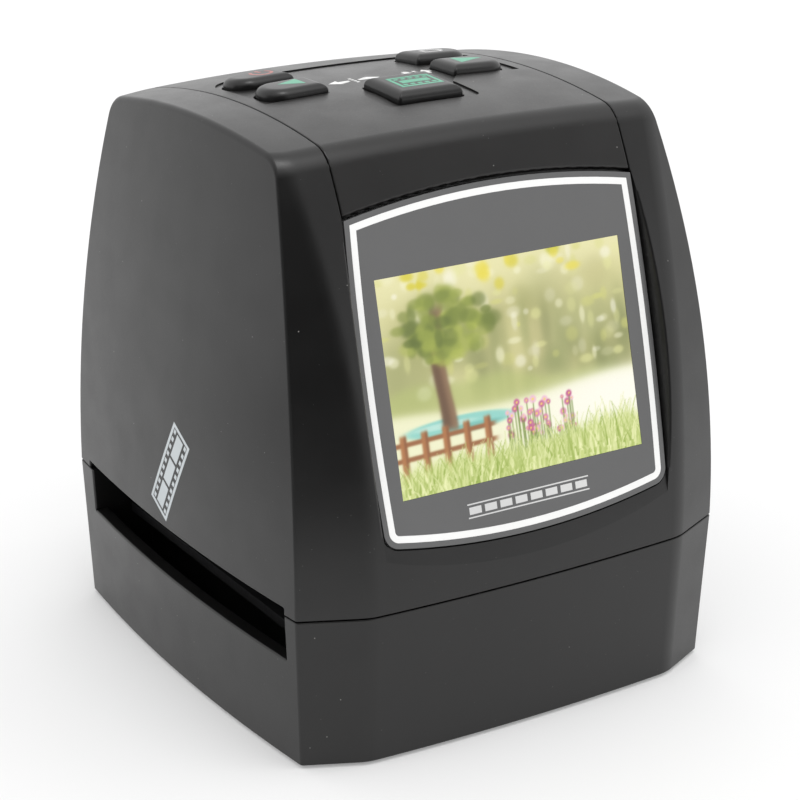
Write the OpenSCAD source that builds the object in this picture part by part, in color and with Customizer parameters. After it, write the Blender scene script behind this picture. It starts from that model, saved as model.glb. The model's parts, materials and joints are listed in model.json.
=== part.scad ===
// Desktop film negative scanner: a drafted base with a film channel right through it, an upper
// housing with two cheeks, a top cover strip with five push buttons and a tilted colour screen.
// Millimetres. +X right, +Y to the rear, +Z up; the origin is on the floor under the middle.

/* [Body] */
// Width of the body at the seam
body_w = 91; // [88:0.5:95]
// Depth of the body at the seam
body_d = 95.8; // [93:0.2:100]
// Height of the crown of the top cover above the floor
body_h = 105.1; // [103:0.05:108]
// Height of the seam between base and upper housing
seam_z = 28.1; // [26.5:0.1:30]
// Height of the base's underside above the floor
foot_stand = 0.6; // [0.3:0.1:1.2]
// Draft of the base walls, from the seam down to the underside
base_draft = 1.2; // [0.4:0.1:2]
// Wall thickness of base and upper housing
wall = 2.5; // [2.3:0.1:2.8]
// Thickness of the base's floor
floor_t = 2.5; // [2:0.1:3.5]
// Height of the dark reveal line at the seam
reveal = 0.25; // [0.1:0.05:0.5]

/* [Curved faces] */
// Radius of the cheeks, seen from above
side_plan_r = 380; // [300:10:600]
// Radius of the cheeks, seen from the front
side_arc_r = 470; // [420:10:600]
// Radius of front and rear, seen from above
front_plan_r = 450; // [350:10:700]
// Radius of the front, seen from the side
front_arc_r = 150; // [145:1:165]
// Radius of the rear, seen from the side
rear_arc_r = 275; // [240:5:320]
// Radius of the top, seen from the side
crown_arc_r = 165; // [155:1:200]
// Radius of the top, seen from the front
crown_plan_r = 500; // [400:20:800]
// Distance of the crown in front of the middle
crown_forward = 2.3; // [0:0.1:5]
// Rounding of the edge between front and top
front_edge_r = 6; // [4:0.5:9]
// Rounding of the edge between rear and top
rear_edge_r = 5.5; // [4:0.5:8]

/* [Corner facets] */
// Turn of the corner facets away from front and rear
corner_angle = 25; // [22:1:30]
// Distance from the side at which the corner facets would meet front and rear
corner_cut = 15.2; // [13:0.2:17]
// Radius of the front corner facets, seen from the side
front_corner_r = 160; // [152:1:175]
// Radius of the rear corner facets, seen from the side
rear_corner_r = 280; // [250:5:320]
// Depth of the narrow facet that softens the edge between corner facet and front
soft_cut = 0.45; // [0.3:0.05:0.8]

/* [Top cover] */
// Width of the cover strip
cover_w = 57.6; // [56:0.2:60]
// Thickness of the cover
cover_t = 1.5; // [1.3:0.1:1.8]
// Width of the ledge that carries the cover
cover_lap = 2; // [1.5:0.1:2.5]
// Depth below the crown at which the cover ends on the rear
cover_rear_drop = 13.1; // [10:0.05:17]
// Gap between the cover and its neighbours
cover_gap = 0.2; // [0.1:0.05:0.3]
// Depth of the decorative grooves
groove_depth = 0.4; // [0.2:0.1:0.7]
// Width of the decorative grooves
groove_w = 0.7; // [0.5:0.1:1]
// Length of that groove to the left of the middle
groove_half = 24.5; // [20:0.5:26]
// Distance of the groove behind the middle
groove_y = 22; // [21:0.2:24]
// Distance of the groove's forward leg from the middle
groove_side = 26; // [25.8:0.1:26.6]
// Radius of the turn into that leg
groove_turn = 8; // [6:0.5:10]

/* [Screen] */
// Backward lean of the screen
screen_tilt = 14.66; // [13.5:0.1:15.5]
// Distance of the picture's lower edge behind the front
screen_back = 3.33; // [3:0.01:3.6]
// Depth of the picture's lower edge below the crown
screen_drop = 58.52; // [57.5:0.01:59.5]
// Width of the picture
picture_w = 48.96; // [47:0.2:50]
// Height of the picture
picture_h = 36.72; // [35:0.2:38]
// Half width of the bezel at mid height
bezel_half = 29.4; // [29:0.1:30]
// Top of the bezel above the picture's lower edge
bezel_top = 49.7; // [49:0.1:50.2]
// Bottom of the bezel below the picture's lower edge
bezel_drop = 10.1; // [9.5:0.1:10.8]
// Radius of the bezel's sides
bezel_side_r = 500; // [350:10:800]
// Radius of the bezel's top edge
bezel_top_r = 151; // [140:1:180]
// Radius of the bezel's bottom edge
bezel_bottom_r = 140; // [125:1:180]
// Rounding of the bezel's bottom corners
bezel_corner_r = 3; // [2.5:0.1:4]
// Thickness of the bezel
bezel_t = 1.8; // [1.4:0.1:2.2]
// Gap round the bezel
bezel_gap = 0.35; // [0.2:0.05:0.5]
// Distance of the white trim from the bezel's edge
trim_inset = 0.95; // [0.7:0.05:1.3]
// Width of the white trim
trim_w = 1.2; // [0.8:0.1:1.5]
// Depth of the groove that holds the trim
trim_depth = 0.3; // [0.2:0.1:0.6]
// Sideways opening of the recess walls per millimetre of depth
recess_flare = 0.3; // [0.2:0.05:0.4]

/* [Film channel] */
// Distance of the channel's front wall behind the front
channel_back = 9.9; // [9.4:0.1:10.4]
// Distance of the channel's rear wall in front of the rear
channel_short = 12.4; // [11.9:0.1:13.4]
// Height of the channel's floor
slot_floor = 19.7; // [19:0.1:20.5]
// Rise of the channel's ceiling above the seam
slot_head_rise = 1.2; // [1:0.1:1.6]
// Length by which the slot in the upper housing runs on to the rear
slot_notch = 1.3; // [0.8:0.1:1.8]
// Thickness of the channel's front and rear walls
channel_wall = 2; // [1.6:0.1:2.4]
// Half length of the film bed
bed_half = 36; // [34:0.5:38]
// Thickness of the film bed
bed_t = 1.8; // [1.5:0.1:2.2]
// Width of one film frame, along the channel
frame_w = 37; // [36:0.5:38]
// Height of one film frame, across the channel
frame_d = 25; // [24:0.5:26]
// Thickness of the film gate
gate_t = 2; // [1.6:0.1:2.5]

/* [Buttons] */
// Height of the buttons above the cover
button_rise = 1.6; // [1.3:0.1:2]
// Travel of a button
press_travel = 0.6; // [0.4:0.1:0.8]
// Gap between a button and its hole
button_gap = 0.2; // [0.15:0.05:0.3]
// Rounding of the buttons' inner corners
button_corner = 0.9; // [0.7:0.1:1.2]
// Rounding of the buttons' outer corners
button_outer_r = 3.8; // [2.5:0.1:3.9]
// Width of the scan button
scan_w = 13; // [12:0.2:14]
// Depth of the scan button
scan_d = 12.2; // [11.6:0.2:13]
// Distance of the scan button's middle in front of the body's middle
scan_forward = 7.9; // [7.5:0.1:8.3]
// Width of the four side buttons
arrow_w = 12.4; // [12:0.2:13.4]
// Distance of their middle from the centre line
arrow_x = 18.5; // [18.2:0.1:18.8]
// Depth of the arrow buttons
arrow_d = 8.6; // [8:0.1:9.4]
// Position of the arrow buttons behind the middle
arrow_y = 2.1; // [1.6:0.1:2.2]
// Depth of the power and mode buttons
power_d = 8.2; // [7.6:0.1:9]
// Position of the power and mode buttons behind the middle
power_y = 14.2; // [13.6:0.1:15]
// Depth of the top face of the button board below the crown
button_board_drop = 11.5; // [10.9:0.05:12.4]
// Height of the switch bodies
switch_h = 4.3; // [3.5:0.1:4.5]

/* [Inside] */
// Thickness of the circuit boards
board_t = 1.2; // [1:0.1:1.6]
// Thickness of the display module behind the bezel
display_t = 2.8; // [2.4:0.1:3.2]
// Depth of the lens mount's seat below the button board
hood_drop = 27.6; // [25.6:0.2:31.6]
// Radius of the lens barrel
barrel_r = 6; // [5:0.1:6.5]
// Height of the top face of the socket board
socket_board_z = 39.2; // [38.5:0.1:40]
// Radius of the housing screws' shanks
screw_r = 1.3; // [1.1:0.05:1.4]
// Radius of the small screws' shanks
small_screw_r = 0.8; // [0.7:0.05:0.9]
// Radius of the rubber feet
foot_r = 4.5; // [4:0.1:5]

/* [Hidden] */

casing_color = [0.13, 0.13, 0.135];
metal_color = [0.75, 0.76, 0.78];
board_color = [0.05, 0.3, 0.15];

// Facets per turn: very large radii, then everything else
arc_fn = 720;
$fn = 64;
// Play of a shank in its bore
fit = 0.05;
// A hair by which a rounding stands proud, so that it crosses its neighbours at an angle
hair = 0.01;
// Gap between an inner piece and a wall beside it
play = 0.2;

crown_y = -crown_forward;
screen_y = screen_back - body_d / 2;
screen_z = body_h - screen_drop;
cover_rear_z = body_h - cover_rear_drop;
slot_front = body_d / 2 - channel_back;
slot_rear = body_d / 2 - channel_short;
button_board_z = body_h - button_board_drop;
hood_top_z = button_board_z - hood_drop;
slot_head = seam_z + slot_head_rise;
film_y = (slot_rear - slot_front) / 2;
channel_len = slot_front + slot_rear;
floor_z = foot_stand + floor_t;

// Corner facets: their reach from the middle, and that of the narrow softening facets, which cut
// the edge where the corner facet meets the curved front
corner_reach = (body_w / 2 - corner_cut) * sin(corner_angle) + body_d / 2 * cos(corner_angle);
soft_angle = corner_angle / 2;
edge_sag = pow(body_w / 2 - 12, 2) / (2 * front_plan_r);
edge_x = (corner_reach - (body_d / 2 - edge_sag) * cos(corner_angle)) / sin(corner_angle);
soft_reach = edge_x * sin(soft_angle) + (body_d / 2 - edge_sag) * cos(soft_angle) - soft_cut;

// Housing screws stand just inside the corner facets
post_x = 34.2;
post_y = (corner_reach - 5.3 - post_x * sin(corner_angle)) / cos(corner_angle);
post_spots = [for (sx = [-1, 1]) for (sy = [-1, 1]) [sx * post_x, sy * post_y]];
post_r = 3;
head_r = 2.4;
head_t = 1.8;
head_depth = 5.4;
screw_top = seam_z + 12;
post_top = screw_top + 1.4;

// Heights inside the base
bed_z = slot_floor - bed_t;
diffuser_t = 1.2;
diffuser_z = bed_z - diffuser_t;
backlight_z = floor_z + 1.5;
gate_z = slot_head;
gate_top = gate_z + gate_t;

// Centres of the bezel's bowed edges: right side, top, bottom
side_centre = [bezel_half - bezel_side_r, (bezel_top - bezel_drop) / 2 - 1.3];
top_centre = [0, bezel_top - bezel_top_r];
bottom_centre = [0, bezel_bottom_r - bezel_drop];

// Display stack, as depths behind the bezel's face
ledge_depth = bezel_t + 1.8;
display_depth = bezel_t + display_t;
frame_depth = display_depth + 1.6;
board_depth = frame_depth + 1.8;
display_top = body_h - 25.1;
lcd_spots = [for (sx = [-1, 1]) for (v = [2, 34]) [sx * 28.9, v]];
board_spots = [for (sx = [-1, 1]) for (v = [-1, 41.5]) [sx * 24, v]];
board_half = 29;
board_low = -6;
board_high = 44;
// Chips: across, up the board, width, height, thickness
chips = [[0, 24, 14, 14, 1.2], [-16, 27, 9, 6, 1], [15, 26, 8, 10, 1], [0, 6, 18, 3.4, 1.6],
         [-17, 12, 6, 6, 1.4], [16, 10, 5, 5, 1.8]];
display_half = 26.8;
display_low = -3.8;
display_high = 40.2;
frame_half = 30.4;
frame_low = -8;
frame_high = 45;

// Buttons: middle across, middle to the rear, width, depth, side of the rounder end
power = [-arrow_x, power_y, arrow_w, power_d, -1];
mode = [arrow_x, power_y, arrow_w, power_d, 1];
left = [-arrow_x, arrow_y, arrow_w, arrow_d, -1];
right = [arrow_x, arrow_y, arrow_w, arrow_d, 1];
scan = [0, -scan_forward, scan_w, scan_d, 0];
buttons = [power, mode, left, right, scan];
flange_grow = 0.6;
flange_t = 1;
flange_gap = 0.3;
stem_r = 1.6;
plunger_r = 1.5;
plunger_rise = 1;
plunger_sunk = 1.2;
switch_top = button_board_z + switch_h;
button_board_half = 26;
button_board_front = -16.5;
button_board_rear = 23;
plunger_top = switch_top + plunger_rise;
// Layers of a cap: part of the rise, distance in from the outline
cap_layers = [[0.35, 0], [0.7, 0.35], [0.9, 0.9], [1, 1.6]];
// Hooks of the cover: place along the cover, height of the hook's upper face
hook_x = cover_w / 2 - cover_lap - 0.9;
hooks = [[-14, body_h - 4.1], [23, body_h - 6]];
cover_bosses = [[-19, -12], [19, -12], [-5.5, 14], [5.5, 14]];

// Small screws: head, and length below it
small_head_r = 1.6;
small_head_t = 1.1;
small_shank = 5;
boss_r = 2.3;

// Feet, and the click spring of the film channel
foot_spots = [for (sx = [-1, 1]) for (sy = [-1, 1]) [sx * 28, sy * 33]];
foot_sunk = 0.8;
spring_half = 10.5;
spring_z = 22;
spring_h = 5;
spring_sunk = 1.2;
spring_bow = 1.5;
led_board_top = backlight_z + board_t;
box_w = 44;
box_d = 32;
glass_r = 5;

// Film gate: ears that reach past the channel walls, with their screws
gate_half = body_w / 2 - 5.5;
gate_ear_half = 29.2;
gate_ear = 5;
gate_screw_x = 20;
gate_screw_out = 2.4;
gate_spots = [for (sx = [-1, 1]) for (y = [-slot_front - gate_screw_out, slot_rear + gate_screw_out])
    [sx * gate_screw_x, y]];

// Light path between gate and sensor
hood_flange = [56, 38, 1.5];
hood_foot = [46, 32];
hood_head = 20;
hood_wall = 1.5;
hood_spots = [for (sx = [-1, 1]) for (sy = [-1, 1]) [sx * 25, film_y + sy * 16]];
mount_w = 23;
mount_t = 2;
collar_h = 9;
sensor_spots = [for (sx = [-1, 1]) for (sy = [-1, 1]) [sx * 9.4, film_y + sy * 9.4]];
sensor_board_z = hood_top_z + mount_t + collar_h + 2;
barrel_low = hood_top_z - 1.5;
barrel_top = hood_top_z + mount_t + collar_h + 0.5;
glass_t = 1.8;

// Socket board and what stands on it
usb_x = -21;
jack_x = -9;
card_x = 11;
usb_size = [7.7, 9, 4];
jack_r = 3;
jack_z = socket_board_z + 3.4;
card_size = [26, 22, 2.9];
card_slot = [24.6, 2.2];
socket_mouth_y = body_d / 2 - 1.2;
socket_board = [58, 22.6];
socket_board_y = body_d / 2 - 26.9;
socket_spots = [for (sx = [-1, 1]) for (in = [23.9, 9.9]) [sx * 26.8, body_d / 2 - in]];

function unit(v) = v / norm(v);
function turned(a, r = 1) = [r * cos(a), r * sin(a)];

// Where two circles meet; side picks the meeting point left (1) or right (-1) of the line c1-c2
function circles_meet(c1, r1, c2, r2, side) =
    let (d = norm(c2 - c1), e = (c2 - c1) / d, a = (r1 * r1 - r2 * r2 + d * d) / (2 * d))
    c1 + a * e + side * sqrt(r1 * r1 - a * a) * [-e[1], e[0]];

// Height of the cover's outer face over a place in plan
function crown_z(x, y) = body_h - crown_arc_r + sqrt(pow(crown_arc_r, 2) - pow(y - crown_y, 2))
    - x * x / (2 * crown_plan_r);

// ---------------------------------------------------------------- outer form

// Solid inside a barrel-shaped face that is round in plan and in height. At the seam the face
// stands reach away from the middle, in the direction of angle.
module barrel(angle, reach, plan_r, arc_r, inset = 0) {
    span = 24;
    rotate([0, 0, angle])
        translate([reach - plan_r, 0, seam_z])
            rotate([0, 0, -span / 2])
                rotate_extrude(angle = span, $fn = arc_fn)
                    intersection() {
                        translate([plan_r - arc_r, 0])
                            rotate(180)
                                circle(r = arc_r - inset, $fn = arc_fn);
                        translate([0, -2])
                            square([plan_r, body_h]);
                    }
}

// Solid under the top's face, round along and across
module crown(inset = 0) {
    span = 80;
    translate([0, crown_y, body_h - crown_arc_r])
        rotate([0, -90, 0])
            rotate([0, 0, -span / 2])
                rotate_extrude(angle = span, $fn = arc_fn / 2)
                    intersection() {
                        translate([crown_arc_r - crown_plan_r, 0])
                            rotate(180)
                                circle(r = crown_plan_r - inset, $fn = arc_fn);
                        translate([0, -body_w])
                            square([crown_arc_r, 2 * body_w]);
                    }
}

// Solid inside a facet that is straight in plan and round in height
module facet(angle, reach, arc_r, inset = 0) {
    rotate([0, 0, angle])
        translate([reach - arc_r, 0, seam_z])
            rotate([90, 0, 180])
                cylinder(r = arc_r - inset, h = 2 * body_d, center = true, $fn = arc_fn);
}

// What the rounding of the edge between the top and the front (or, mirrored, the rear) takes off:
// a ring sector swept along the edge. The round stands a hair proud of both faces, so that it
// crosses them at a slight angle instead of only touching them.
module edge_cutter(arc_r, edge_r, crown_at) {
    proud = 0.06;
    reach = 25;
    face_centre = [arc_r - body_d / 2, seam_z];
    top_centre = [crown_at, body_h - crown_arc_r];
    middle = circles_meet(face_centre, arc_r - edge_r + proud,
                          top_centre, crown_arc_r - edge_r + proud, -1);
    face_n = unit(middle - face_centre);
    top_n = unit(middle - top_centre);
    // Drift of the edge per square millimetre away from the centre line
    plan_here = front_plan_r - arc_r * (1 + face_n[0]);
    face_drift = face_n[0] / (2 * plan_here);
    top_drift = -top_n[1] / (2 * crown_plan_r);
    cross_n = face_n[0] * top_n[1] - face_n[1] * top_n[0];
    drift = [face_drift * top_n[1] - face_n[1] * top_drift,
             face_n[0] * top_drift - top_n[0] * face_drift] / cross_n;
    sweep_r = 1 / (2 * norm(drift));
    out = -unit(drift);
    lean = atan2(out[1], -out[0]);
    low = atan2(face_n[1], -face_n[0]) - lean;
    high = atan2(top_n[1], -top_n[0]) - lean;
    translate([0, middle[0], middle[1]])
        rotate([-lean, 0, 0])
            translate([0, sweep_r, 0])
                rotate([0, 0, -98])
                    rotate_extrude(angle = 16, $fn = arc_fn)
                        translate([sweep_r, 0])
                            difference() {
                                polygon([[0, 0], turned(low, reach),
                                         turned((low + high) / 2, 1.4 * reach),
                                         turned(high, reach)]);
                                circle(r = edge_r, $fn = 96);
                            }
}

// Both roundings, front and rear
module edge_cutters() {
    edge_cutter(front_arc_r, front_edge_r, crown_y);
    mirror([0, 1, 0])
        edge_cutter(rear_arc_r, rear_edge_r, -crown_y);
}

// Space between front, rear and crown, or between faces set back by inset
module strip_form(inset = 0) {
    intersection() {
        barrel(-90, body_d / 2, front_plan_r, front_arc_r, inset);
        barrel(90, body_d / 2, front_plan_r, rear_arc_r, inset);
        crown(inset);
    }
}

// Everything above low and inside the main faces, or inside faces set back by inset
module main_form(inset, low) {
    intersection() {
        barrel(0, body_w / 2, side_plan_r, side_arc_r, inset);
        barrel(180, body_w / 2, side_plan_r, side_arc_r, inset);
        barrel(-90, body_d / 2, front_plan_r, front_arc_r, inset);
        barrel(90, body_d / 2, front_plan_r, rear_arc_r, inset);
        crown(inset);
        facet(-90 - corner_angle, corner_reach, front_corner_r, inset);
        facet(-90 + corner_angle, corner_reach, front_corner_r, inset);
        facet(90 - corner_angle, corner_reach, rear_corner_r, inset);
        facet(90 + corner_angle, corner_reach, rear_corner_r, inset);
        above(low);
    }
}

// Outer form of the upper housing and the cover
module upper_form() {
    difference() {
        intersection() {
            main_form(0, seam_z);
            facet(-90 - soft_angle, soft_reach, (front_arc_r + front_corner_r) / 2);
            facet(-90 + soft_angle, soft_reach, (front_arc_r + front_corner_r) / 2);
            facet(90 - soft_angle, soft_reach, (rear_arc_r + rear_corner_r) / 2);
            facet(90 + soft_angle, soft_reach, (rear_arc_r + rear_corner_r) / 2);
        }
        edge_cutters();
    }
}

// Half space above a height
module above(z) {
    translate([-body_w, -body_d, z])
        cube([2 * body_w, 2 * body_d, 2 * body_h]);
}

// Solid inside a drafted base wall that is round in plan
module drafted_wall(angle, reach, plan_r, inset) {
    span = 24;
    rotate([0, 0, angle])
        translate([reach - plan_r, 0, 0])
            rotate([0, 0, -span / 2])
                rotate_extrude(angle = span, $fn = arc_fn)
                    polygon([
                        [0, foot_stand], [plan_r - base_draft - inset, foot_stand],
                        [plan_r - inset, seam_z], [0, seam_z]
                    ]);
}

// Solid inside a drafted base facet that is straight in plan
module drafted_facet(angle, reach, inset) {
    rotate([0, 0, angle])
        translate([reach - inset, 0, seam_z])
            rotate([0, atan(base_draft / (seam_z - foot_stand)), 0])
                translate([-2 * body_d, -body_d, -2 * seam_z])
                    cube([2 * body_d, 2 * body_d, 3 * seam_z]);
}

module base_form(inset = 0) {
    intersection() {
        drafted_wall(0, body_w / 2, side_plan_r, inset);
        drafted_wall(180, body_w / 2, side_plan_r, inset);
        drafted_wall(-90, body_d / 2, front_plan_r, inset);
        drafted_wall(90, body_d / 2, front_plan_r, inset);
        drafted_facet(-90 - corner_angle, corner_reach, inset);
        drafted_facet(-90 + corner_angle, corner_reach, inset);
        drafted_facet(90 - corner_angle, corner_reach, inset);
        drafted_facet(90 + corner_angle, corner_reach, inset);
        drafted_facet(-90 - soft_angle, soft_reach, inset);
        drafted_facet(-90 + soft_angle, soft_reach, inset);
        drafted_facet(90 - soft_angle, soft_reach, inset);
        drafted_facet(90 + soft_angle, soft_reach, inset);
    }
}

// ---------------------------------------------------------------- shared shapes

// Moves to the screen's own axes: x across, y up the screen, z outwards from its face
module on_screen() {
    translate([0, screen_y, screen_z])
        rotate([90 - screen_tilt, 0, 0])
            children();
}

// Straight-sided solid over the bezel's outline, from depth low to depth high
module bezel_prism(grow, low, high) {
    translate([0, 0, low])
        linear_extrude(high - low)
            bezel_outline(grow);
}

// The bezel's outline: four bowed edges with rounded bottom corners, grown evenly by grow
module bezel_outline(grow = 0) {
    middle = circles_meet(side_centre, bezel_side_r - bezel_corner_r,
                          bottom_centre, bezel_bottom_r - bezel_corner_r, -1);
    side_n = unit(middle - side_centre);
    bottom_n = unit(middle - bottom_centre);
    corner = 2 * bezel_corner_r;
    cut = [middle, middle + corner * side_n,
           middle + corner * (side_n + bottom_n), middle + corner * bottom_n];
    difference() {
        intersection() {
            bowed_side(1, grow);
            bowed_side(-1, grow);
            translate(top_centre)
                circle(r = bezel_top_r + grow, $fn = arc_fn);
            translate(bottom_centre)
                circle(r = bezel_bottom_r + grow, $fn = arc_fn);
        }
        for (sx = [-1, 1])
            polygon([for (place = cut) [sx * place[0], place[1]]]);
    }
    for (sx = [-1, 1])
        translate([sx * middle[0], middle[1]])
            circle(r = bezel_corner_r + grow + hair);
}

module bowed_side(sx, grow) {
    translate([sx * side_centre[0], side_centre[1]])
        circle(r = bezel_side_r + grow, $fn = arc_fn);
}

// Everything above the bezel's top edge, set back by inset
module below_top_edge(inset) {
    on_screen()
        translate([top_centre[0], top_centre[1], -body_d])
            cylinder(r = bezel_top_r + inset, h = 2 * body_d, $fn = arc_fn);
}

// Plan of the cover strip, or of a strip narrower by inset on both sides, over its whole length
module strip(inset) {
    translate([-cover_w / 2 + inset, -body_d, cover_rear_z + inset])
        cube([cover_w - 2 * inset, 2 * body_d, body_h]);
}

// Strip with a bowed front end
module strip_room(inset) {
    difference() {
        strip(inset);
        below_top_edge(inset);
    }
}

// Outline of a button, in its place
module button_outline(b, grow = 0) {
    half = [b[2] / 2 + grow, b[3] / 2 + grow];
    corners = [for (c = [[1, 1], [-1, 1], [-1, -1], [1, -1]])
        let (r = (c[0] == b[4] ? button_outer_r : button_corner) + grow)
        [c[0], c[1], r]];
    translate([b[0], b[1]]) {
        polygon([for (c = corners) for (first = [true, false])
            let (along_x = (c[0] * c[1] > 0) == first)
            along_x ? [c[0] * half[0], c[1] * (half[1] - c[2])]
                    : [c[0] * (half[0] - c[2]), c[1] * half[1]]]);
        for (c = corners)
            translate([c[0] * (half[0] - c[2]), c[1] * (half[1] - c[2])])
                circle(r = c[2] + hair);
    }
}

// Box centred in plan, standing on z
module block(w, d, h, z) {
    translate([-w / 2, -d / 2, z])
        cube([w, d, h]);
}

// Small screw with its head on z, pointing down (or up)
module small_screw(z, shank, up = false) {
    translate([0, 0, z])
        mirror([0, 0, up ? 1 : 0]) {
            difference() {
                cylinder(r = small_head_r, h = small_head_t);
                translate([0, 0, small_head_t - 0.5])
                    for (turn = [0, 90])
                        rotate([0, 0, turn])
                            block(2, 0.45, 1, 0);
            }
            translate([0, 0, -shank])
                cylinder(r = small_screw_r, h = shank);
        }
}

// Bore for such a screw, from low to high
module small_bore(low, high) {
    translate([0, 0, low])
        cylinder(r = small_screw_r + fit, h = high - low);
}

// ---------------------------------------------------------------- housing

// Lower shell: drafted walls, the film channel through both sides, ribs and screw pillars
module base_housing() {
    color(casing_color)
        difference() {
            union() {
                difference() {
                    base_form();
                    difference() {
                        base_form(wall);
                        base_inside();
                    }
                }
                channel_walls(30.5, slot_head);
            }
            // Film channel, open through both sides
            translate([-body_w, -slot_front, slot_floor])
                cube([2 * body_w, channel_len, body_h]);
            // Reveal at the seam
            difference() {
                above(seam_z - reveal);
                translate([0, 0, -body_h])
                    linear_extrude(2 * body_h)
                        square([body_w - 2.4, body_d - 2.4], center = true);
            }
            for (spot = post_spots)
                translate([spot[0], spot[1], 0]) {
                    cylinder(r = screw_r + fit, h = body_h);
                    cylinder(r = head_r + 0.3, h = foot_stand + head_depth);
                }
            for (spot = gate_spots)
                translate([spot[0], spot[1], 0])
                    small_bore(gate_z - 7.5, body_h);
            for (spot = foot_spots)
                translate([spot[0], spot[1], 0])
                    cylinder(r = foot_r + 0.15, h = foot_stand + foot_sunk);
            // Seat of the click spring in the channel's rear wall
            translate([-spring_half - play, slot_rear - 1, spring_z - play])
                cube([2 * (spring_half + play), 1 + spring_sunk, spring_h + 2 * play]);
        }
}

// Two walls along the film channel, up to a height
module channel_walls(half, top) {
    for (y = [-slot_front - channel_wall, slot_rear])
        translate([-half, y, floor_z - 0.5])
            cube([2 * half, channel_wall, top - floor_z + 0.5]);
}

module base_inside() {
    translate([-body_w, -body_d, 0])
        cube([2 * body_w, 2 * body_d, floor_z]);
    channel_walls(body_w / 2, seam_z + 1);
    // Bearers of the film bed
    for (x = [-31, 31])
        translate([x - 0.8, -slot_front, 0])
            cube([1.6, channel_len, bed_z]);
    for (sx = [-1, 1])
        for (sy = [-1, 1])
            translate([sx * 19, film_y + sy * 13, 0])
                cylinder(r = 2.5, h = backlight_z);
    for (spot = gate_spots)
        translate([spot[0], spot[1], 0])
            cylinder(r = 2.6, h = gate_z);
    for (spot = post_spots)
        translate([spot[0], spot[1], 0]) {
            cylinder(r = post_r + 0.2, h = body_h);
            cylinder(r = head_r + 1.8, h = foot_stand + head_depth + 2);
        }
    // Ribs between the channel walls and the outer walls
    for (x = [-10, 0, 10])
        for (sy = [-1, 1])
            translate([x - 0.7, sy < 0 ? -body_d / 2 : slot_rear, 0])
                cube([1.4, body_d / 2 - (sy < 0 ? slot_front : slot_rear), seam_z - 6]);
}

// Upper moulding: both cheeks, the face below the screen and the rear, with the screen's recess
module upper_housing() {
    color(casing_color)
        difference() {
            upper_form();
            difference() {
                main_form(wall, seam_z - 1);
                upper_inside();
            }
            recess();
            on_screen() {
                bezel_prism(bezel_gap, -bezel_t, 1);
                translate([-display_half - 0.5, display_low - 0.7, -ledge_depth - 1])
                    cube([2 * display_half + 1, display_high - display_low + 2, ledge_depth + 1]);
            }
            // Rebate of the cover, and the opening inside it
            difference() {
                strip_room(0);
                strip_form(cover_t);
            }
            intersection() {
                strip_room(cover_lap);
                above(display_top);
            }
            // Film channel
            translate([-body_w, -slot_front, 0])
                cube([2 * body_w, channel_len + slot_notch, slot_head]);
            for (spot = post_spots)
                translate([spot[0], spot[1], 0])
                    cylinder(r = screw_r + fit, h = screw_top + 1);
            for (spot = lcd_spots)
                on_screen()
                    translate([spot[0], spot[1], -ledge_depth - 1])
                        cylinder(r = small_screw_r + fit, h = ledge_depth - bezel_t + 0.8);
            socket_openings();
        }
}

module upper_inside() {
    on_screen()
        translate([-body_w, -20, -ledge_depth])
            cube([2 * body_w, bezel_top + 22.3, body_d]);
    for (spot = post_spots)
        translate([spot[0], spot[1], 0])
            cylinder(r = post_r, h = post_top);
    // Stiffening ribs of the cheeks and of the rear
    for (sx = [-1, 1])
        for (y = [33.9 - body_d / 2, 6, body_d / 2 - 21.9])
            translate([sx * body_w / 2 - 4.6, y - 0.7, slot_head + 6])
                cube([9.2, 1.4, 50]);
    for (x = [-14, 0, 14])
        translate([x - 0.7, body_d / 2 - 6.2, socket_board_z + 12])
            cube([1.4, 6.2, 34]);
}

// Recess in front of the screen, with side walls that open outwards
module recess() {
    depth = 10;
    on_screen()
        intersection() {
            recess_side(1, depth);
            recess_side(-1, depth);
            translate(top_centre)
                cylinder(r = bezel_top_r + bezel_gap, h = depth, $fn = arc_fn);
            translate([-body_w / 2, -22, 0])
                cube([body_w, bezel_top + 24, depth]);
        }
}

module recess_side(sx, depth) {
    translate([sx * side_centre[0], side_centre[1]])
        cylinder(r1 = bezel_side_r + bezel_gap, h = depth, $fn = arc_fn,
                 r2 = bezel_side_r + bezel_gap + recess_flare * depth);
}

module socket_openings() {
    reach = 12;
    translate([usb_x - usb_size[0] / 2 - 0.3, socket_mouth_y - 5, socket_board_z - 0.3])
        cube([usb_size[0] + 0.6, reach, usb_size[2] + 0.6]);
    translate([jack_x, socket_mouth_y - 5, jack_z])
        rotate([-90, 0, 0])
            cylinder(r = jack_r + 0.3, h = reach);
    translate([card_x - card_size[0] / 2 - 0.3, socket_mouth_y - 5, socket_board_z - 0.3])
        cube([card_size[0] + 0.6, reach, card_size[2] + 0.6]);
}

// Centre strip over the top, with the button holes and shallow grooves
module top_cover() {
    color(casing_color)
        difference() {
            union() {
                difference() {
                    intersection() {
                        strip_form();
                        strip(cover_gap);
                    }
                    edge_cutters();
                    strip_form(cover_t);
                    below_top_edge(bezel_gap);
                }
                difference() {
                    cover_inside();
                    difference() {
                        above(button_board_z - 5);
                        crown(cover_t / 2);
                    }
                }
            }
            for (b = buttons)
                translate([0, 0, button_board_z])
                    linear_extrude(body_h)
                        button_outline(b, button_gap);
            difference() {
                linear_extrude(2 * body_h)
                    grooves();
                crown(groove_depth);
            }
            for (spot = cover_bosses)
                translate([spot[0], spot[1], 0])
                    small_bore(0, button_board_z + 5);
        }
}

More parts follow.
